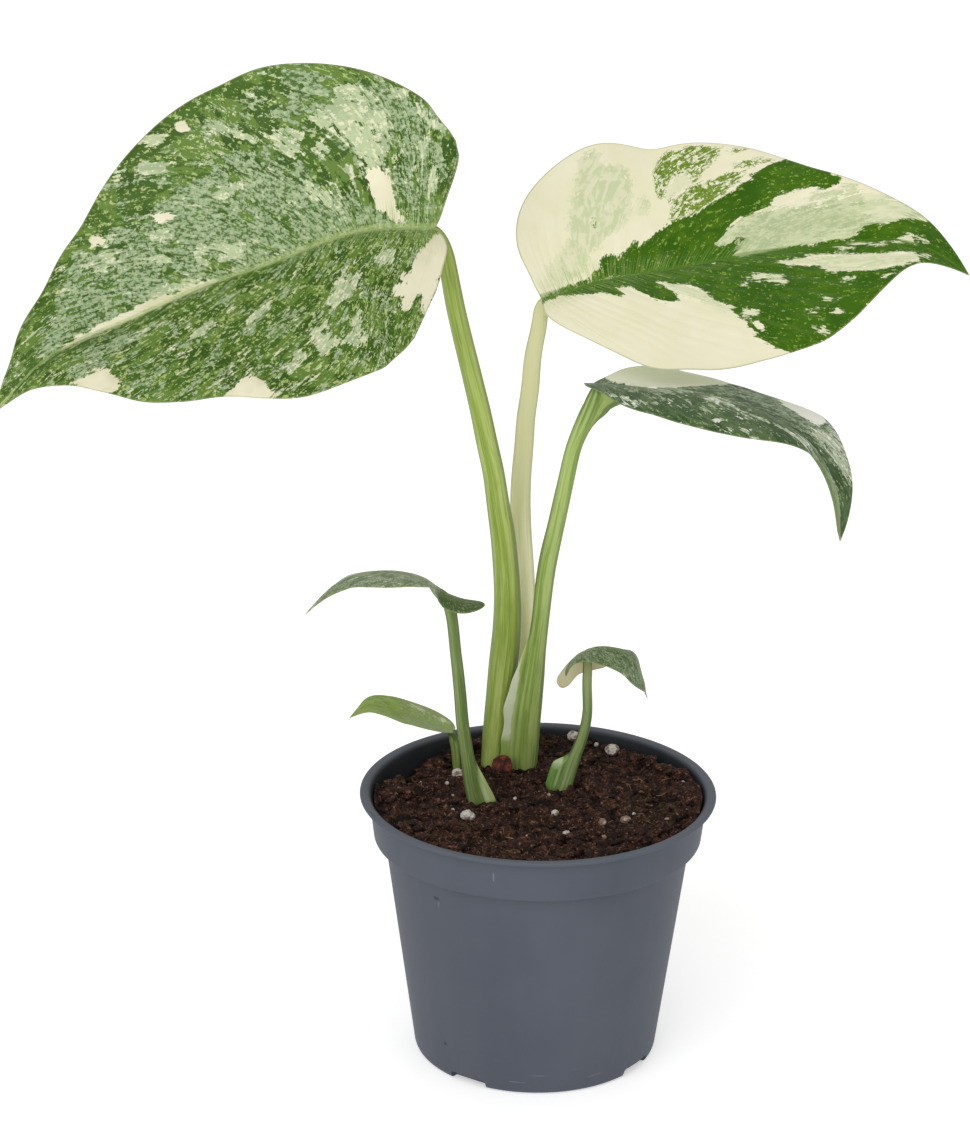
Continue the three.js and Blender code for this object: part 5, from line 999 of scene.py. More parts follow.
# left large leaf: green ground marbled with grey green, pale and cream; fine pale granules densest on the near half
mat1 = leaf_material("leaf_left_large", "D", dict(seed=1.7, uses="GDPC", L=LEN["left_large"], rib=lin(150, 172, 100), rib2=lin(186, 198, 140), rib_amount=0.6, line_to=0.95, cbias=0.1, near_rib_shade=(0.65, 6.5, DARK2), pale=lin(183, 196, 152)))
blade("blade_left_large", LEAF["left_large"], 1.0, 46, 0.55, 2.1, 1.0, patches("1"), lambda X, Y, s: 0.55 - 0.12 * (s > 0), mat1, "leaf_marbled", 11)

# right large leaf: cream ground with a bold green band and speckled borders
mat2 = leaf_material("leaf_right_large", "C", dict(seed=4.1, uses="GDPCS", L=LEN["right_large"], rib=lin(88, 128, 36), rib_amount=0.5, line_to=0.8, ragged=0.32, spec=0.12, dark=lin(52, 95, 4), dark2=lin(66, 108, 8), mid=lin(86, 122, 18), mid_amount=0.5, t_mid=0.52, t_spk=0.574, cluster=0.42, bump=0.12, fleck=lin(146, 172, 76), grey=lin(184, 197, 150), pale=lin(212, 219, 174), cream=lin(246, 241, 211), cream2=lin(242, 238, 202)))
blade("blade_right_large", LEAF["right_large"], 1.0, 46, 0.55, 2.0, 0.75, patches("2"), const(0.45), mat2, "leaf_cream", 23)

# right drooping leaf: dark grey green near half, cream and grey green far half
mat3 = leaf_material("leaf_right_drooping", "D", dict(seed=7.3, uses="GDPC", L=LEN["right_drooping"], dark=lin(50, 76, 34), dark2=lin(64, 90, 46), mid=lin(84, 108, 62), grey=lin(134, 150, 122), pale=lin(184, 195, 162), fleck=lin(158, 174, 124), cream=lin(252, 250, 240), cream2=lin(250, 248, 232), rib=lin(134, 152, 110), rib_amount=0.5, t_grey=0.548, t_pale=0.618, t_spk=0.572, g_up=0.10))
blade("blade_right_drooping", LEAF["right_drooping"], 0.9, 40, 0.5, 1.5, 0.6, patches("3"), const(0.46), mat3, "leaf_grey", 31)

mat4 = leaf_material("leaf_left_small_upper", "D", dict(seed=2.9, uses="GPC", L=LEN["left_small_upper"], fine=2.0, dark=lin(92, 110, 70), dark2=lin(104, 122, 80), mid=lin(122, 138, 100), grey=lin(150, 162, 134), pale=lin(188, 197, 168), fleck=lin(150, 164, 124), t_grey=0.50, t_pale=0.57, ragged=0.4, rib=lin(130, 148, 100), base_tone=(6.5, 2.0, lin(70, 90, 40), 0.95)))
blade("blade_left_small_upper", LEAF["left_small_upper"], 0.55, 26, 0.45, 0.95, 0.3, patches("4"), const(0.4), mat4, "leaf_grey", 41)

mat5 = leaf_material("leaf_left_small_lower", "D", dict(seed=5.7, uses="GPC", L=LEN["left_small_lower"], fine=2.4, dark=lin(122, 144, 66), dark2=lin(138, 160, 78), mid=lin(146, 164, 94), grey=lin(128, 138, 100), pale=lin(196, 206, 164), fleck=lin(150, 172, 96), t_grey=0.60, t_pale=0.62, g_up=0.16, ragged=0.4, rib=lin(140, 164, 84)))
blade("blade_left_small_lower", LEAF["left_small_lower"], 0.5, 22, 0.4, 0.8, 0.25, patches("5"), const(0.15), mat5, "leaf_lime", 51)

mat6 = leaf_material("leaf_right_small", "D", dict(seed=8.8, uses="GPC", L=LEN["right_small"], fine=2.2, dark=lin(74, 94, 56), dark2=lin(88, 108, 68), mid=lin(104, 122, 84), grey=lin(128, 142, 116), pale=lin(168, 178, 138), fleck=lin(140, 156, 108), t_grey=0.515, t_pale=0.60, ragged=0.4, rib=lin(120, 140, 90), under=lin(176, 186, 122), under_mix=0.85, under_base=(3.0, 0.0, lin(226, 218, 176))))
blade("blade_right_small", LEAF["right_small"], 0.5, 24, 0.45, 0.9, 0.25, patches("6"), const(0.35), mat6, "leaf_grey", 61)


# ------------------------------------------------------------------ stalks
def stalk_material(name, green, light, dark, seed, edge=None, stripes=0.4, upper=None, wing_tone=None, wing_pale=None):
    g = Graph(name)
    ar = g.attr("round", "Vector")  # mm round the stalk, mm along it
    wing = g.attr("wing")
    sep = g.add("ShaderNodeSeparateXYZ", {0: g.attr("place", "Vector")}).outputs
    s0 = g.noise(g.scaled(ar, 0.42, 0.012, 0.42, (seed, 1, 0)), 1.0, 1.0, 0.5)
    s1 = g.noise(g.scaled(ar, 1.0, 0.022, 1.0, (seed, 0, 0)), 1.0, 2.0, 0.5)
    s2 = g.noise(g.scaled(ar, 2.3, 0.045, 2.3, (0, seed, 2)), 1.0, 2.0, 0.5)
    mott = g.noise(g.scaled(ar, 0.5, 0.10, 0.5, (3, seed, 0)), 1.0, 4.0, 0.65)
    col = g.mix(g.rng(s0, 0.40, 0.62, 0.0, 0.8), green, light)
    col = g.mix(g.rng(s1, 0.50, 0.66, 0.0, 0.55), col, light)
    col = g.mix(g.rng(s2, 0.55, 0.68, 0.0, stripes), col, g.mix(0.55, light, lin(206, 214, 158)))
    col = g.mix(g.rng(s2, 0.44, 0.33, 0.0, 0.45), col, dark)
    col = g.mix(g.rng(mott, 0.50, 0.66, 0.0, 0.22), col, dark)
    if upper is not None:
        col = g.mix(g.rng(g.sum(sep[1], g.rng(s1, 0.3, 0.7, -0.12, 0.12, "LINEAR")), upper[0], upper[1], 0.0, 0.9), col, upper[2])
    if wing_tone is not None:
        wc = g.mix(g.rng(s2, 0.47, 0.60, 0.0, 0.8), wing_tone, g.mix(0.5, wing_tone, lin(206, 212, 162)))
        if wing_pale is not None:
            z0, z1, pt = wing_pale
            wob = g.math("MULTIPLY_ADD", mott, 10.0, -5.0)
            z = g.sum(sep[2], wob)
            band = g.math("MULTIPLY", g.rng(z, z0, z0 + 4.0), g.rng(z, z1, z1 - 3.0))
            wc = g.mix(g.math("MULTIPLY", band, g.rng(g.sum(wing, g.math("MULTIPLY_ADD", mott, 0.6, -0.3)), 0.42, 0.62)), wc, pt)
        col = g.mix(g.rng(wing, 0.10, 0.40), col, wc)
    # painted shade: a darker tone on the stalk's left and right flanks, where the round stalk turns away from the
    # light
    if edge is not None:
        col = g.mix(g.math("MULTIPLY", g.rng(g.attr("flank_shade"), 0.72, 0.97, 0.0, 0.7), g.rng(wing, 0.25, 0.05)), col, edge)
    rough = g.rng(s2, 0.3, 0.7, 0.42, 0.56, "LINEAR")
    nb = g.bump(g.sum(s1, g.math("MULTIPLY", s2, 0.6)), 0.35, 0.0003)
    return g.finish(col, rough, nb, Specular_IOR_Level=0.25)


def stalk(key, material, slot, seed, sides=40, step=1.3, wing=None, flare=None):
    path = np.array(STALK[key]["c"], float)
    rad_ = np.array(STALK[key]["r"], float)
    S = Surface(LEAF[key])
    # the stalk's top bends over and runs out into the midrib's keel
    w = RIBS[key]
    if flare is None:
        x = np.array([1.2, 3.2, 6.5]) * (1 if w > 1.2 else 0.55)
        Pm, Tm, Lm, Nm = S.frame(x)
        Pm = Pm - Nm * (np.array([0.95, 0.75, 0.62]) * w)[:, None]
        keep = np.linalg.norm(path - Pm[0], axis=1) > 1.6 * w
        keep[:2] = True
        path = np.concatenate([path[keep], Pm])
        r_end = rad_[-1]
        rad_ = np.concatenate([rad_[keep], [min(r_end, w * 0.98), w * 0.86, w * 0.6]])
    span = np.arange(sides) * 360.0 / sides
    for f_ in (wing, flare):
        if f_ is not None:
            off = (span - f_["angle"] + 540) % 360 - 180
            extra = f_["angle"] + np.linspace(-f_["half"] * 1.1, f_["half"] * 1.1, 25)
            span = np.concatenate([span[np.abs(off) > f_["half"] * 1.2], extra])
            span = np.sort(span % 360)

    wing_amt = {}

    def section(th, s, centres, r):
        u = s / s[-1]
        z = centres[:, 2][:, None]
        r = r * (1 + 0.018 * np.sin(np.radians(th) * 5 + seed) + 0.012 * np.sin(np.radians(th) * 9 + 1.7 * seed + 0.02 * s))
        r = r * (1 + 0.02 * vnoise(np.stack(np.broadcast_arrays(np.cos(np.radians(th)) * 1.3, np.sin(np.radians(th)) * 1.3, s * 0.035 + seed), -1), 7))
        amt = np.zeros_like(r)
        if flare is not None:
            # the stalk's top widens into the underside of the midrib
            o = np.abs((th - flare["angle"] + 540) % 360 - 180) / flare["half"]
            r = r + np.clip(1 - o, 0, 1) ** 1.15 * flare["reach"](z)
        if wing is not None:
            o = np.abs((th - wing["angle"] + 540) % 360 - 180) / wing["half"]
            f = np.clip(1 - o, 0, 1) ** wing.get("power", 1.25)
            reach = wing["reach"](z)
            wav = 1 + 0.06 * np.sin(z * 0.55 + seed) + 0.05 * np.sin(z * 0.23)
            amt = f * reach * wav
            r = r + amt
        wing_amt["a"] = amt
        return r

    co, q, t, ar, al = tube(path, rad_, sides, step if flare is None else step * 0.6, section, span, level=9.0 if flare is not None else 0.0)
    m = len(span)
    k = (len(co) - 2) // m
    n = k - 4
    amt = np.zeros((k, m))
    if wing is not None:
        amt[2:-2] = wing_amt["a"]
        amt[:2] = amt[2]
    wv = np.concatenate([amt.ravel(), [0, 0]])
    a = np.radians(ar)
    mean_r = float(rad_.mean())
    H = float(co[:, 2].max() - co[:, 2].min())
    attrs = {
        "round": np.stack([np.cos(a) * mean_r, al, np.sin(a) * mean_r], 1),
        "wing": np.clip(wv / 3.4, 0, 1),
        # the attribute below is 1 on the stalk's left and right flanks, for the painted shade there
        "flank_shade": np.abs(np.cos(a)),
        "place": np.stack([al, (co[:, 2] - co[:, 2].min()) / H, co[:, 2]], 1),
    }
    ob = make_mesh("petiole_" + key + "_visual", co, q, t, attrs, None, (material,))
    piece(ob, slot, "petiole_" + key)
    return ob


RIBS = dict(left_large=2.1, right_large=2.0, right_drooping=1.5, left_small_upper=0.95, left_small_lower=0.8, right_small=0.9)
WINGS = {
    "right_drooping": dict(angle=203, half=16, power=1.15, reach=lambda z: np.interp(z, [84, 88, 96, 104, 112, 116, 120, 124, 128, 134, 140], [5.4, 5.2, 4.8, 4.6, 4.7, 4.5, 3.9, 3.3, 2.7, 1.5, 0])),
    "left_small_upper": dict(angle=-14, half=28, reach=lambda z: 3.4 * smooth(106, 90, z)),
    "right_small": dict(angle=188, half=32, power=0.8, reach=lambda z: 4.1 * smooth(101, 96, z) * smooth(83, 89, z)),
}
FLARE = dict(angle=-18, half=30, reach=lambda z: np.interp(z, [216, 219, 222, 225.2, 227.4, 229.5, 231], [0, 0.3, 1.2, 3.6, 8.2, 12.6, 15.0]))
sm1 = stalk_material("stalk_left_large", lin(142, 162, 68), lin(178, 194, 108), lin(108, 130, 48), 1.0, edge=lin(114, 126, 70))
stalk("left_large", sm1, "stalk_green", 1.0, 56)
sm2 = stalk_material("stalk_right_large", lin(242, 238, 196), lin(248, 244, 214), lin(226, 224, 176), 2.0, edge=lin(176, 172, 122), stripes=0.4, upper=(0.36, 0.62, lin(214, 212, 162)))
stalk("right_large", sm2, "stalk_pale", 2.0, 52)
sm3 = stalk_material("stalk_right_drooping", lin(130, 154, 68), lin(174, 192, 116), lin(94, 118, 46), 3.0, edge=lin(96, 114, 60), wing_tone=lin(152, 174, 88), wing_pale=(99.0, 134.0, lin(208, 216, 184)), upper=(0.93, 1.0, lin(104, 132, 74)))
stalk("right_drooping", sm3, "stalk_green", 3.0, 52, wing=WINGS["right_drooping"], flare=FLARE)
sm4 = stalk_material("stalk_left_small_upper", lin(98, 120, 58), lin(124, 142, 84), lin(72, 94, 42), 4.0, edge=lin(66, 78, 44), wing_tone=lin(156, 174, 112))
stalk("left_small_upper", sm4, "stalk_green", 4.0, 36, 1.0, wing=WINGS["left_small_upper"])
sm5 = stalk_material("stalk_left_small_lower", lin(118, 140, 66), lin(140, 160, 84), lin(84, 106, 40), 5.0, upper=(0.72, 0.86, lin(70, 92, 32)))
stalk("left_small_lower", sm5, "stalk_green", 5.0, 30, 0.7)
sm6 = stalk_material("stalk_right_small", lin(94, 120, 56), lin(136, 154, 96), lin(68, 92, 38), 6.0, edge=lin(58, 64, 44), wing_tone=lin(92, 134, 52), wing_pale=(95.0, 103.0, lin(172, 188, 142)), upper=(0.5, 0.8, lin(150, 162, 104)))
stalk("right_small", sm6, "stalk_green", 6.0, 36, 0.9, wing=WINGS["right_small"])

# the short stems, under the peat
gs = Graph("stem_skin")
oc = gs.add("ShaderNodeTexCoord").outputs["Object"]
sn = gs.noise(gs.scaled(oc, 500, 500, 120), 1.0, 3.0, 0.6)
stem_mat = gs.finish(gs.mix(gs.rng(sn, 0.4, 0.62), lin(104, 126, 58), lin(96, 78, 48)), 0.6, gs.bump(sn, 0.5, 0.0004))
for nm in ("stem_main", "stem_left", "stem_rear_left", "stem_right"):
    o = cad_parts[nm]
    o.data.materials.clear()
    o.data.materials.append(stem_mat)


# ------------------------------------------------------------------ peat
def wall_height(phi):
    return np.interp(phi, [w[0] for w in WALL], [w[1] for w in WALL])


def soil_height(x, y):
    r = np.hypot(x, y)
    phi = np.degrees(np.arctan2(x, -y))
    z = 88.4 + 0.45 * np.sin(x * 0.23 + 1.1) * np.cos(y * 0.19 - 0.6) + 0.3 * np.sin(x * 0.41 - y * 0.37 + 2.0)
    return z + (wall_height(phi) - 88.4) * smooth(38, 54, r)


def inner_radius(z):
    return np.interp(z, [1.6, 2.8, 78.82, 78.83, 93.35], [38.95, 40.2, 50.45, 53.95, 55.65])


def soil_rough(x, y):
    """crumbs and hollows on top of the peat's general level, in mm"""
    p = np.stack([x, y, 0 * x], -1)
    a = fbm(p * 0.15, 3, 0.55, 3) * 1.6
    lump = 1.0 - np.minimum(cells(p * 0.19 + 0.22 * fbm(p * 0.35, 3, 0.55, 8)[..., None], 5) * 1.3, 1.0)
    crumb = 1.0 - np.minimum(cells(p * 0.42 + 0.25 * fbm(p * 0.7, 2, 0.5, 9)[..., None], 15) * 1.25, 1.0)
    fine = fbm(p * 1.2, 3, 0.62, 21)
    return a + 2.4 * lump**1.2 + 1.35 * crumb**1.1 + 0.75 * fine - 1.5


# the relief once on a grid, for everything that lies on it
G_N = 300
gx = np.linspace(-56, 56, G_N)
GX, GY = np.meshgrid(gx, gx, indexing="ij")
GRID = soil_rough(GX.ravel(), GY.ravel()).reshape(G_N, G_N)


def rough_at(x, y):
    fx = np.clip((np.asarray(x, float) + 56) / 112 * (G_N - 1), 0, G_N - 1.001)
    fy = np.clip((np.asarray(y, float) + 56) / 112 * (G_N - 1), 0, G_N - 1.001)
    i, j = fx.astype(int), fy.astype(int)
    u, v = fx - i, fy - j
    return GRID[i, j] * (1 - u) * (1 - v) + GRID[i + 1, j] * u * (1 - v) + GRID[i, j + 1] * (1 - u) * v + GRID[i + 1, j + 1] * u * v


M = 236
uq = np.linspace(-1, 1, M + 1)
A_, B_ = np.meshgrid(uq, uq, indexing="ij")
with np.errstate(divide="ignore", invalid="ignore"):
    big = np.abs(A_) > np.abs(B_)
    rr = np.where(big, A_, B_)
    th = np.where(big, (math.pi / 4) * np.nan_to_num(B_ / A_), math.pi / 2 - (math.pi / 4) * np.nan_to_num(A_ / B_))
dx, dy = rr * np.cos(th), rr * np.sin(th)
zz = soil_height(dx * 54.5, dy * 54.5)
Rw = inner_radius(zz) - 0.12
x_, y_ = dx * Rw, dy * Rw
rho = np.hypot(dx, dy)
rough_ = soil_rough(x_.ravel(), y_.ravel()).reshape(x_.shape)
z_ = soil_height(x_, y_) + rough_ * (0.35 + 0.65 * smooth(1.0, 0.97, rho))
stalk_feet = [(-15.2, 33.3, 4.6), (-3.9, 41.5, 3.5), (-4.7, 32.3, 4.4), (-20.6, 2.0, 3.2), (-28.1, 29.5, 1.5), (8.6, 13.5, 2.8)]
hum = np.zeros_like(z_)
for fx_, fy_, fr_ in stalk_feet:
    dd = np.hypot(x_ - fx_, y_ - fy_)
    hum = np.maximum(hum, smooth(fr_ + 3.0, fr_, dd) * 0.7)
z_ = z_ + hum
gid = np.arange((M + 1) ** 2).reshape(M + 1, M + 1)
sq = np.stack([gid[:-1, :-1].ravel(), gid[1:, :-1].ravel(), gid[1:, 1:].ravel(), gid[:-1, 1:].ravel()], 1)
rim_ids = np.concatenate([gid[:-1, 0], gid[-1, :-1], gid[1:, -1][::-1], gid[0, 1:][::-1]])
top = np.stack([x_.ravel(), y_.ravel(), z_.ravel()], 1)
rings = [top]
cur = rim_ids
qs = [sq]
base_n = len(top)
ang = np.arctan2(top[rim_ids, 1], top[rim_ids, 0])
for zc in (79.4, 78.2, 40.0, 3.4):
    rad_c = inner_radius(np.array([zc]))[0] - 0.4
    ring = np.stack([np.cos(ang) * rad_c, np.sin(ang) * rad_c, np.full(len(ang), zc)], 1)
    nxt = base_n + np.arange(len(ang))
    base_n += len(ang)
    rings.append(ring)
    qs.append(np.stack([cur, np.roll(cur, -1), np.roll(nxt, -1), nxt], 1))
    cur = nxt
rings.append(np.array([[0, 0, 3.0]]))
tri_b = np.stack([np.full(len(cur), base_n), cur, np.roll(cur, -1)], 1)
soil_co = np.concatenate(rings)
# make the skirt's faces agree with the top's
e0 = (int(rim_ids[0]), int(rim_ids[1]))
top_edges = set()
for f in sq[: M * 2].tolist() + sq[-M * 2 :].tolist() + sq[:: M].tolist() + sq[M - 1 :: M].tolist():
    for p_, q_ in zip(f, f[1:] + f[:1]):
        top_edges.add((p_, q_))
if e0 in top_edges:
    qs = [qs[0]] + [q_[:, ::-1] for q_ in qs[1:]]
    tri_b = tri_b[:, ::-1]


def peat_material(name, fib=False):
    g = Graph(name)
    oc = g.add("ShaderNodeTexCoord").outputs["Object"]
    n1 = g.noise(oc, 380.0, 5.0, 0.70)
    n2 = g.noise(oc, 1300.0, 3.0, 0.65)
    n3 = g.noise(oc, 90.0, 3.0, 0.6)
    v = g.voronoi(oc, 900.0)
    col = g.ramp(g.sum(g.math("MULTIPLY", n1, 0.55), g.math("MULTIPLY", n2, 0.45)), [(0.36, lin(13, 7, 5)), (0.46, lin(34, 20, 15)), (0.54, lin(66, 40, 30)), (0.64, lin(118, 78, 60))])
    col = g.mix(g.rng(n3, 0.5, 0.68, 0.0, 0.6), col, lin(24, 13, 10))
    col = g.mix(g.rng(g.noise(oc, 800.0, 2.0), 0.61, 0.68, 0.0, 0.8), col, lin(142, 100, 78))
    if not fib:
        col = g.mix(g.math("MULTIPLY", g.attr("moss"), g.rng(n1, 0.42, 0.6, 0.1, 0.65)), col, lin(70, 74, 42))
        col = g.mix(g.math("MULTIPLY", g.attr("ochre"), g.rng(n1, 0.4, 0.55, 0.1, 0.7)), col, lin(128, 92, 54))
        # painted shade: the hollows between the crumbs darkened nearly to black
        col = g.mix(g.rng(g.attr("hollow_shade"), 0.35, 0.95, 0.0, 0.85), col, lin(9, 5, 4))
    nb = g.bump(g.sum(n2, g.math("MULTIPLY", v, 0.6)), 0.9, 0.0007)
    return g.finish(col, g.rng(n2, 0.3, 0.7, 0.62, 0.95, "LINEAR"), nb, Specular_IOR_Level=0.22)


def spot(x, y, cx, cy, rx, ry):
    return np.exp(-(((x - cx) / rx) ** 2 + ((y - cy) / ry) ** 2))


sx, sy = soil_co[:, 0], soil_co[:, 1]
moss = np.clip(spot(sx, sy, 38.0, -2.0, 9, 12) * 0.8 + spot(sx, sy, 30.0, -24.0, 5, 4) * 0.5, 0, 1)
ochre = np.clip(spot(sx, sy, -26.0, -24.0, 5.5, 5.0), 0, 1)
peat = peat_material("peat")
# painted shade in the dips of the relief, and all over the skirt below the surface
hollow_shade = np.concatenate([smooth(0.2, -1.5, rough_.ravel()), np.ones(len(soil_co) - rough_.size)])
soil_ob = make_mesh("peat_surface", soil_co, np.concatenate(qs), tri_b, {"moss": moss, "ochre": ochre, "hollow_shade": hollow_shade}, None, (peat,))
piece(soil_ob, "peat", "soil")


def ico(sub):
    """unit icosphere as arrays"""
    t = (1 + 5**0.5) / 2
    v = np.array([[-1, t, 0], [1, t, 0], [-1, -t, 0], [1, -t, 0], [0, -1, t], [0, 1, t], [0, -1, -t], [0, 1, -t], [t, 0, -1], [t, 0, 1], [-t, 0, -1], [-t, 0, 1]], float)
    f = np.array([[0, 11, 5], [0, 5, 1], [0, 1, 7], [0, 7, 10], [0, 10, 11], [1, 5, 9], [5, 11, 4], [11, 10, 2], [10, 7, 6], [7, 1, 8], [3, 9, 4], [3, 4, 2], [3, 2, 6], [3, 6, 8], [3, 8, 9], [4, 9, 5], [2, 4, 11], [6, 2, 10], [8, 6, 7], [9, 8, 1]])
    v /= np.linalg.norm(v, axis=1, keepdims=True)
    for _ in range(sub):
        e = {}
        vs = list(v)

        def midp(a, b):
            k = (min(a, b), max(a, b))
            if k not in e:
                e[k] = len(vs)
                p = vs[a] + vs[b]
                vs.append(p / np.linalg.norm(p))
            return e[k]

        nf = []
        for a, b, c in f:
            x, y, z = midp(a, b), midp(b, c), midp(c, a)
            nf += [[a, x, z], [b, y, x], [c, z, y], [x, y, z]]
        v = np.array(vs)
        f = np.array(nf)
    return v, f


rng = np.random.default_rng(8562)


def clear_of_stalks(x, y, gap):
    return all(math.hypot(x - a, y - b) > c + gap for a, b, c in stalk_feet)


# loose crumbs lying on the peat
iv, it = ico(2)
iv1, it1 = ico(1)
iv3, it3 = ico(3)
cs, ts, off = [], [], 0
count = 0
while count < 560:
    r = 53.2 * math.sqrt(rng.random())
    a = rng.random() * 2 * math.pi
    size = 0.45 + 1.25 * rng.random() ** 2.2
    if count >= 430:
        size = 1.3 + 2.0 * rng.random() ** 1.4
        if count % 2:
            r = 53.6 - size - 2.5 * rng.random()
    x, y = r * math.cos(a), r * math.sin(a)
    if r + size > 53.9 or not clear_of_stalks(x, y, size * 0.6):
        continue
    if any(math.hypot(x - e[0], y - e[1]) < 0.8 * size + e[2] + (0.3 if y < e[1] else 0.0) for e in list(GRAINS) + list(SMALL_GRAINS)):
        continue
    V_, T_ = (iv3, it3) if size > 2.2 else ((iv, it) if size > 1.1 else (iv1, it1))
    q = V_ * (1 + 0.55 * vnoise(V_ * 1.7 + rng.random(3) * 90, 4)[:, None] + 0.30 * vnoise(V_ * 4.1 + count, 6)[:, None])
    q = q * size * np.array([1 + 1.1 * rng.random() ** 2, 0.7 + 0.4 * rng.random(), 0.5 + 0.3 * rng.random()])
    w = rng.random() * 6.28
    ca, sa = math.cos(w), math.sin(w)
    q = q @ np.array([[ca, -sa, 0], [sa, ca, 0], [0, 0, 1]]).T
    z0 = float(soil_height(np.array([x]), np.array([y]))[0] + rough_at([x], [y])[0])
    cs.append(q + [x, y, z0 + size * 0.18])
    ts.append(T_ + off)
    off += len(V_)
    count += 1
crumbs = make_mesh("peat_crumbs", np.concatenate(cs), None, np.concatenate(ts), None, None, (peat_material("peat_crumb", True),), flip=False)
piece(crumbs, "peat")

# fibres and twiglets of the peat
cs, qs, ts, tone, off = [], [], [], [], 0
for i in range(2200):
    while True:
        r = 53.0 * math.sqrt(rng.random())
        a = rng.random() * 2 * math.pi
        x, y = r * math.cos(a), r * math.sin(a)
        if clear_of_stalks(x, y, 0.4):
            break
    ln = 1.0 + 4.2 * rng.random() ** 2.2
    w = rng.random() * 2 * math.pi
    rad_f = 0.06 + 0.10 * rng.random() ** 2
    if rng.random() < 0.05:
        rad_f *= 2.0
    bend = (rng.random() - 0.5) * 1.6
    tt = np.linspace(-0.5, 0.5, 6)
    px = x + ln * (tt * math.cos(w) - bend * (tt * tt - 0.08) * math.sin(w))
    py = y + ln * (tt * math.sin(w) + bend * (tt * tt - 0.08) * math.cos(w))
    lim = np.hypot(px, py)
    if lim.max() > 53.9:
        continue
    zb = soil_height(px, py) + rough_at(px, py)
    lift = rng.random() ** 3 * ln * 0.35
    pz = np.maximum(zb, zb.mean()) * 0.5 + zb * 0.5 + rad_f * 0.6 + lift * (tt + 0.5) * (rng.random() < 0.35)
    Pp = np.stack([px, py, pz], 1)
    T = np.gradient(Pp, axis=0)
    T /= np.linalg.norm(T, axis=1, keepdims=True)
    e1 = np.cross(T, [0, 0, 1.0])
    e1 /= np.linalg.norm(e1, axis=1, keepdims=True)
    e2 = np.cross(T, e1)
    taper = np.array([0.45, 0.85, 1, 1, 0.8, 0.35]) * rad_f
    m = 4
    rings_ = []
    for k_ in range(6):
        for j in range(m):
            b = 2 * math.pi * j / m
            rings_.append(Pp[k_] + taper[k_] * (math.cos(b) * e1[k_] * 1.3 + math.sin(b) * e2[k_]))
    cs.append(np.array(rings_))
    j = np.arange(m)
    for k_ in range(5):
        qs.append(np.stack([k_ * m + j, k_ * m + (j + 1) % m, (k_ + 1) * m + (j + 1) % m, (k_ + 1) * m + j], 1) + off)
    qs.append(np.array([[3, 2, 1, 0], [5 * m, 5 * m + 1, 5 * m + 2, 5 * m + 3]]) + off)
    tone.append(np.full(6 * m, rng.random()))
    off += 6 * m
gf = Graph("peat_fibre")
tn = gf.attr("tone")
fc = gf.ramp(tn, [(0.0, lin(30, 18, 13)), (0.35, lin(58, 36, 27)), (0.65, lin(98, 64, 48)), (0.88, lin(134, 96, 74)), (1.0, lin(172, 138, 112))])
oc = gf.add("ShaderNodeTexCoord").outputs["Object"]
fn_ = gf.noise(oc, 1500.0, 3.0, 0.6)
fibre_mat = gf.finish(gf.mix(gf.rng(fn_, 0.35, 0.65, 0.0, 0.5), fc, lin(34, 20, 15)), 0.8, gf.bump(fn_, 0.5, 0.0003), Specular_IOR_Level=0.25)
fibres = make_mesh("peat_fibres", np.concatenate(cs), np.concatenate(qs), None, {"tone": np.concatenate(tone)}, None, (fibre_mat,), flip=None)
piece(fibres, "peat")


# ------------------------------------------------------------------ perlite and bark
def perlite_material():
    g = Graph("perlite")
    oc = g.add("ShaderNodeTexCoord").outputs["Object"]
    v = g.voronoi(oc, 1700.0)
    n = g.noise(oc, 600.0, 3.0, 0.6)
    dirt = g.attr("dirt")
    col = g.mix(g.rng(v, 0.25, 0.02, 0.0, 0.55), lin(206, 201, 194), lin(120, 104, 94))
    col = g.mix(g.rng(g.sum(n, dirt), 0.70, 1.15, 0.0, 0.9), col, lin(128, 96, 80))
    return g.finish(col, 0.85, g.bump(g.sum(v, n), 0.7, 0.0004), Specular_IOR_Level=0.3)


perl = perlite_material()
pv4, pf4 = ico(4)
for i, (x, y, r, seed) in enumerate(GRAINS):
    z = float(soil_height(np.array([x]), np.array([y]))[0]) + r * 0.25
    d = pv4 * (1 + 0.22 * fbm(pv4 * 1.5 + seed * 7, 3, 0.5, 31)[:, None])
    pits = smooth(0.42, 0.12, cells(pv4 * 2.6 + seed * 3, 41))
    d = d * (1 - 0.22 * pits[:, None])
    d = d * r * np.array([1.04, 0.98, 0.86])
    dirt = np.clip(0.25 + 0.5 * vnoise(pv4 * 1.3 + seed, 5) + 0.5 * smooth(0.1, -0.7, pv4[:, 2]) + 0.35 * pits, 0, 1)
    if i in (4, 5):
        dirt = np.clip(dirt + 0.35, 0, 1)
    piece(make_mesh(f"perlite_grain_{i + 1}", d + [x, y, z], None, pf4, {"dirt": dirt}, None, (perl,)), "perlite", f"perlite_{i + 1}")

# the smallest grains, scattered through the surface
cs, ts, dirt, off = [], [], [], 0
spots = SMALL_GRAINS
for i, (x, y, r) in enumerate(spots):
    V_, T_ = iv, it
    q = V_ * (1 + 0.25 * vnoise(V_ * 1.9 + i * 3.1, 9)[:, None]) * r
    z = float(soil_height(np.array([x]), np.array([y]))[0] + rough_at([x], [y])[0]) + r * 0.35
    cs.append(q + [x, y, z])
    ts.append(T_ + off)
    dirt.append(np.full(len(V_), 0.25 + 0.4 * ((i * 0.618) % 1)))
    off += len(V_)
piece(make_mesh("perlite_small_grains", np.concatenate(cs), None, np.concatenate(ts), {"dirt": np.concatenate(dirt)}, None, (perl,), flip=False), "perlite")

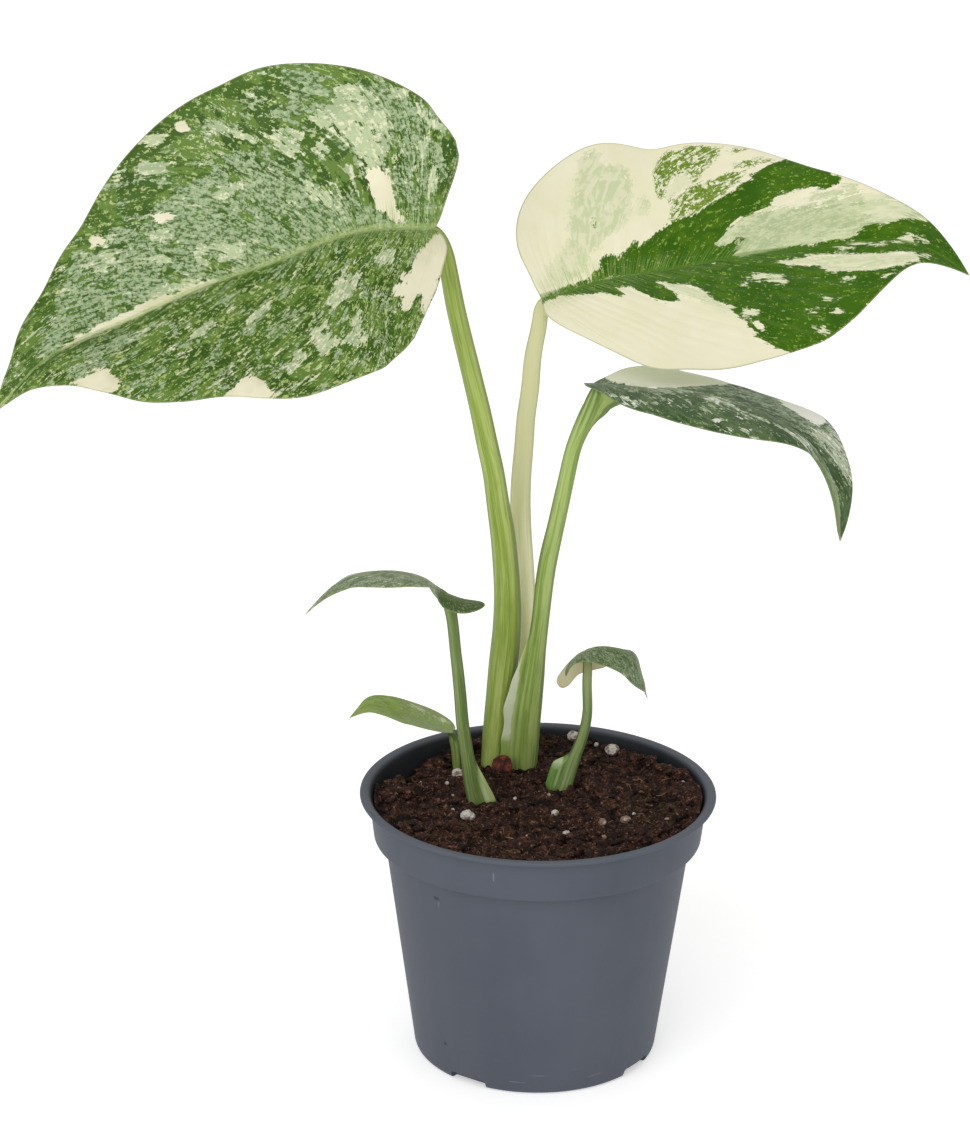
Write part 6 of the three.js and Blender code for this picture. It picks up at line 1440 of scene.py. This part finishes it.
# bark chip: a worn, rounded flake leaning against the stalks
cv, cf_ = ico(4)
sup = np.sign(cv) * np.abs(cv) ** 0.75
sup /= np.max(np.abs(sup), axis=0)
half = np.array([CHIP["size"][0] * 0.92, CHIP["size"][1], CHIP["size"][2] * 1.12]) / 2
sup[:, 0] *= 1 - 0.22 * np.clip(sup[:, 2], 0, 1)
sup[:, 2] += 0.16 * sup[:, 0] * np.clip(sup[:, 2], 0, 1)
d = sup * half * (1 + 0.17 * fbm(cv * 1.9 + 3, 4, 0.55, 71)[:, None])
d = d * (1 - 0.10 * smooth(0.35, 0.1, cells(cv * 2.2, 75))[:, None])
rx, ry, rz = (math.radians(v) for v in CHIP["tilt"])
Rx = np.array([[1, 0, 0], [0, math.cos(rx), -math.sin(rx)], [0, math.sin(rx), math.cos(rx)]])
Ry = np.array([[math.cos(ry), 0, math.sin(ry)], [0, 1, 0], [-math.sin(ry), 0, math.cos(ry)]])
Rz = np.array([[math.cos(rz), -math.sin(rz), 0], [math.sin(rz), math.cos(rz), 0], [0, 0, 1]])
d = d @ (Rx @ Ry @ Rz).T + np.array(CHIP["at"])
g = Graph("bark")
oc = g.add("ShaderNodeTexCoord").outputs["Object"]
b1 = g.noise(g.scaled(oc, 900, 900, 260), 1.0, 4.0, 0.6)
b2 = g.noise(oc, 380.0, 3.0, 0.6)
bc = g.ramp(g.sum(g.math("MULTIPLY", b1, 0.6), g.math("MULTIPLY", b2, 0.4)), [(0.36, lin(26, 11, 7)), (0.5, lin(80, 33, 21)), (0.62, lin(128, 66, 45))])
bark_mat = g.finish(bc, 0.75, g.bump(b1, 0.8, 0.0006), Specular_IOR_Level=0.3)
piece(make_mesh("bark_flake", d, None, cf_, None, None, (bark_mat,)), "bark", "bark_chip")


# ------------------------------------------------------------------ pot
def rounded(profile, radii, seg=5):
    """profile points with their corners rounded"""
    out = []
    n = len(profile)
    for i, p in enumerate(profile):
        p = np.array(p, float)
        rr_ = radii[i]
        if rr_ <= 0 or i in (0, n - 1):
            out.append(p)
            continue
        a = np.array(profile[i - 1], float) - p
        b = np.array(profile[i + 1], float) - p
        la, lb = np.linalg.norm(a), np.linalg.norm(b)
        c = min(rr_, la * 0.45, lb * 0.45)
        a0, b0 = p + a / la * c, p + b / lb * c
        for k_ in range(seg + 1):
            t_ = k_ / seg
            out.append((1 - t_) ** 2 * a0 + 2 * t_ * (1 - t_) * p + t_ * t_ * b0)
    return np.array(out)


H = 93.35
prof = [(0, 0.35), (34, 0.35), (35.5, 0), (39.6, 0), (40.8, 0.5), (41.35, 1.8), (51.7, 77.57), (55.2, 77.57), (56.9, H - 1.4), (59.6, H - 1.4), (60.0, H - 1.0), (59.9, H - 0.35), (59.3, H), (57.5, H), (56.3, H - 1.0), (55.6, H - 3.0), (53.95, 78.82), (50.45, 78.82), (40.2, 2.8), (38.95, 1.6), (0, 1.6)]
crn = [0, 1, 0.4, 0.5, 0.8, 0.8, 0.9, 0.7, 0.8, 0.25, 0.3, 0.3, 0.35, 0.8, 0.8, 0.9, 0.9, 0.9, 1.0, 0.8, 0]
pr = rounded(prof, crn)
# extra points down the long straight walls
dense = [pr[0]]
for a, b in zip(pr[:-1], pr[1:]):
    ln = np.linalg.norm(b - a)
    steps = max(1, int(ln / 6.0))
    for k_ in range(1, steps + 1):
        dense.append(a + (b - a) * k_ / steps)
pr = np.array(dense)
SEG = 224
an = np.arange(SEG) * 2 * math.pi / SEG
inner_pts = pr[1:-1]
co = np.concatenate([np.stack([np.outer(inner_pts[:, 0], np.cos(an)), np.outer(inner_pts[:, 0], np.sin(an)), np.outer(inner_pts[:, 1], np.ones(SEG))], -1).reshape(-1, 3), [[0, 0, pr[0][1]], [0, 0, pr[-1][1]]]])
nr = len(inner_pts)
idx = np.arange(SEG)
q = np.concatenate([np.stack([i * SEG + idx, i * SEG + (idx + 1) % SEG, (i + 1) * SEG + (idx + 1) % SEG, (i + 1) * SEG + idx], 1) for i in range(nr - 1)])
t = np.concatenate([np.stack([np.full(SEG, nr * SEG), (idx + 1) % SEG, idx], 1), np.stack([np.full(SEG, nr * SEG + 1), (nr - 1) * SEG + idx, (nr - 1) * SEG + (idx + 1) % SEG], 1)])


def pot_material():
    g = Graph("pot_plastic")
    oc = g.add("ShaderNodeTexCoord").outputs["Object"]
    sep = g.add("ShaderNodeSeparateXYZ", {0: oc}).outputs
    cloud = g.noise(oc, 22.0, 3.0, 0.55)
    fine = g.noise(oc, 2600.0, 2.0, 0.5)
    flow = g.noise(g.scaled(oc, 60, 60, 8), 1.0, 3.0, 0.55)
    col = g.mix(g.rng(g.sum(g.math("MULTIPLY", cloud, 0.6), g.math("MULTIPLY", flow, 0.4)), 0.38, 0.62), lin(*POT_A), lin(*POT_B))
    # painted highlight: the top of the lip a little lighter, where it catches the light
    lip_highlight = g.math("MULTIPLY", g.rng(sep[2], 0.0926, 0.0931), 0.35)
    col = g.mix(lip_highlight, col, lin(114, 118, 128))
    # fine pale scuffs near the foot
    sc = g.noise(g.scaled(oc, 90, 90, 1800, (0.4, 0, 0)), 1.0, 2.0, 0.5)
    scz = g.math("MULTIPLY", g.rng(sc, 0.70, 0.74), g.rng(sep[2], 0.02, 0.002))
    col = g.mix(g.math("MULTIPLY", scz, 0.5), col, lin(140, 144, 152))
    # a few small rub marks on the wall: x, z, half width, half height, tone
    front = g.math("LESS_THAN", sep[1], -0.02)
    n_mark = g.noise(oc, 900.0, 2.0, 0.6)
    for mx, mz, wx, wz, tone, amt in POT_MARKS:
        dx = g.math("DIVIDE", g.math("SUBTRACT", sep[0], mx), wx)
        dz = g.math("DIVIDE", g.math("SUBTRACT", sep[2], mz), wz)
        dd = g.sum(g.math("MULTIPLY", dx, dx), g.math("MULTIPLY", dz, dz), g.math("MULTIPLY_ADD", n_mark, 3.0, -1.5))
        col = g.mix(g.math("MULTIPLY", g.math("MULTIPLY", g.rng(dd, 1.0, 0.4), front), amt), col, tone)
    # painted shade: the inner wall above the peat darkened to a near black navy, as it lies in shadow inside the pot
    rad2 = g.math("SQRT", g.sum(g.math("MULTIPLY", sep[0], sep[0]), g.math("MULTIPLY", sep[1], sep[1])))
    inside = g.math("MULTIPLY", g.rng(g.math("SUBTRACT", rad2, g.sum(g.rng(sep[2], 0.0788, 0.0919, 0.0545, 0.0562, "LINEAR"), g.rng(sep[2], 0.0920, 0.0922, 0.0, 0.0015))), 0.0003, -0.0001), g.math("MULTIPLY", g.rng(sep[2], 0.0931, 0.0917), g.math("GREATER_THAN", sep[2], 0.0787)))
    col = g.mix(g.math("MULTIPLY", inside, 0.88), col, g.mix(g.rng(cloud, 0.4, 0.6), lin(26, 28, 34), lin(34, 34, 38)))
    rough = g.rng(cloud, 0.3, 0.7, 0.52, 0.62, "LINEAR")
    nb = g.bump(g.sum(fine, g.math("MULTIPLY", flow, 0.8)), 0.12, 0.0004)
    return g.finish(col, rough, nb, Specular_IOR_Level=0.17)


POT_A, POT_B = (76, 80, 90), (82, 86, 96)
POT_MARKS = [
    (-0.0330, 0.0705, 0.0012, 0.0011, lin(52, 55, 62), 0.75),
    (-0.0322, 0.0687, 0.0004, 0.0014, lin(118, 122, 130), 0.35),
    (-0.0300, 0.0132, 0.0006, 0.0007, lin(44, 46, 52), 0.8),
    (-0.0140, 0.0858, 0.0003, 0.0017, lin(138, 142, 150), 0.4),
]
pot_mat = pot_material()
pot = make_mesh("pot_body", co, q, t, None, None, (pot_mat,))
cutters = []
for i, a in enumerate((-33, 57, 147, 237)):
    w, hgt = 7.0, 3.0
    b = math.radians(a)
    # a slot with rounded upper corners: outline across the wall, extruded along the radius
    outl = [(-w, -1.5)] + [(-w + 1.2 - 1.2 * math.cos(u_), hgt - 1.2 + 1.2 * math.sin(u_)) for u_ in np.linspace(0, math.pi / 2, 6)] + [(w - 1.2 + 1.2 * math.sin(u_), hgt - 1.2 + 1.2 * math.cos(u_)) for u_ in np.linspace(0, math.pi / 2, 6)] + [(w, -1.5)]
    pts = []
    for rr_ in (37.2, 45.0):
        for u_, v_ in outl:
            x, y = u_, -rr_
            pts.append((x * math.cos(b) - y * math.sin(b), x * math.sin(b) + y * math.cos(b), v_))
    nn = len(outl)
    fq = [[k_, (k_ + 1) % nn, nn + (k_ + 1) % nn, nn + k_] for k_ in range(nn)]
    c = make_mesh(f"cutter_{i}", pts, fq, None)
    me = c.data
    bm = bmesh.new()
    bm.from_mesh(me)
    bmesh.ops.holes_fill(bm, edges=[e for e in bm.edges if e.is_boundary], sides=0)
    bmesh.ops.recalc_face_normals(bm, faces=bm.faces)
    bm.to_mesh(me)
    bm.free()
    md = pot.modifiers.new(f"notch_{i}", "BOOLEAN")
    md.operation = "DIFFERENCE"
    md.solver = "EXACT"
    md.object = c
    cutters.append(c)
bpy.context.view_layer.update()
dg = bpy.context.evaluated_depsgraph_get()
cut = bpy.data.meshes.new_from_object(pot.evaluated_get(dg))
pot.modifiers.clear()
pot.data = cut
cut.name = "pot_body"
for c in cutters:
    bpy.data.objects.remove(c)
cut.materials.clear()
cut.materials.append(pot_mat)
cut.polygons.foreach_set("use_smooth", np.full(len(cut.polygons), True))
cut.set_sharp_from_angle(angle=math.radians(38)) if hasattr(cut, "set_sharp_from_angle") else None
piece(pot, "pot_plastic", "pot")


# ------------------------------------------------------------------ floor, light, camera
fm = Graph("floor")
oc = fm.add("ShaderNodeTexCoord").outputs["Object"]
fnz = fm.noise(oc, 3.0, 3.0, 0.5)
floor_mat = fm.finish(fm.mix(fm.rng(fnz, 0.3, 0.7), lin(249, 249, 249), lin(252, 252, 252)), 0.9, None, Specular_IOR_Level=0.1, Emission_Color=(1.0, 1.0, 1.0, 1.0), Emission_Strength=GLOW)
fv = [(-9000, -6000, 0), (9000, -6000, 0), (9000, 12000, 0), (-9000, 12000, 0)]
me = bpy.data.meshes.new("floor")
me.from_pydata([tuple(c * MM for c in v) for v in fv], [], [(0, 1, 2, 3)])
me.materials.append(floor_mat)
floor = bpy.data.objects.new("floor", me)
bpy.context.scene.collection.objects.link(floor)

world = bpy.data.worlds.new("studio")
world.use_nodes = True
wt = world.node_tree
wt.nodes.clear()
wo = wt.nodes.new("ShaderNodeOutputWorld")
bg = wt.nodes.new("ShaderNodeBackground")
bg.inputs["Color"].default_value = (1.0, 1.0, 1.0, 1.0)
bg.inputs["Strength"].default_value = WORLD
wt.links.new(bg.outputs[0], wo.inputs[0])
bpy.context.scene.world = world


def area(name, at, target, size, power, color=(1, 1, 1)):
    l = bpy.data.lights.new(name, "AREA")
    l.shape = "RECTANGLE"
    l.size, l.size_y = size
    l.energy = power
    l.color = color
    o = bpy.data.objects.new(name, l)
    bpy.context.scene.collection.objects.link(o)
    o.location = at
    o.rotation_euler = (Vector(target) - Vector(at)).to_track_quat("-Z", "Y").to_euler()
    return o


area("key", (-0.8, -1.55, 1.3), (0, 0, 0.15), (1.8, 1.6), KEY)
area("fill", (1.3, -1.4, 1.0), (0, 0, 0.15), (1.4, 1.4), FILL)
area("back", (0.2, 1.6, 1.5), (0, 0, 0.2), (1.6, 0.9), BACK)

sc = bpy.context.scene
sc.view_settings.view_transform = "Standard"
sc.view_settings.look = "None"
sc.view_settings.exposure = 0.0
sc.view_settings.gamma = 1.0

cam_d = bpy.data.cameras.new("camera")
cam_d.sensor_fit = "HORIZONTAL"
cam_d.sensor_width = 36.0
cam_d.lens = 3735.6 / 970 * 36.0
cam_d.clip_start = 0.05
cam_d.clip_end = 50
cam_d.dof.use_dof = False
cam = bpy.data.objects.new("camera", cam_d)
sc.collection.objects.link(cam)
E_, ROLL, YAW, PITCH = (math.radians(v) for v in (27.183, 0.4702, -0.9140, -19.9974))
fwd = Vector((math.sin(YAW) * math.cos(PITCH), math.cos(YAW) * math.cos(PITCH), math.sin(PITCH)))
right = fwd.cross(Vector((0, 0, 1))).normalized()
up_ = right.cross(fwd)
r_ = right * math.cos(ROLL) + up_ * math.sin(ROLL)
u_ = -right * math.sin(ROLL) + up_ * math.cos(ROLL)
mw = Matrix(((r_.x, u_.x, -fwd.x, 0), (r_.y, u_.y, -fwd.y, -1.3 * math.cos(E_)), (r_.z, u_.z, -fwd.z, 1.3 * math.sin(E_)), (0, 0, 0, 1)))
cam.matrix_world = mw
sc.camera = cam

bpy.context.view_layer.update()
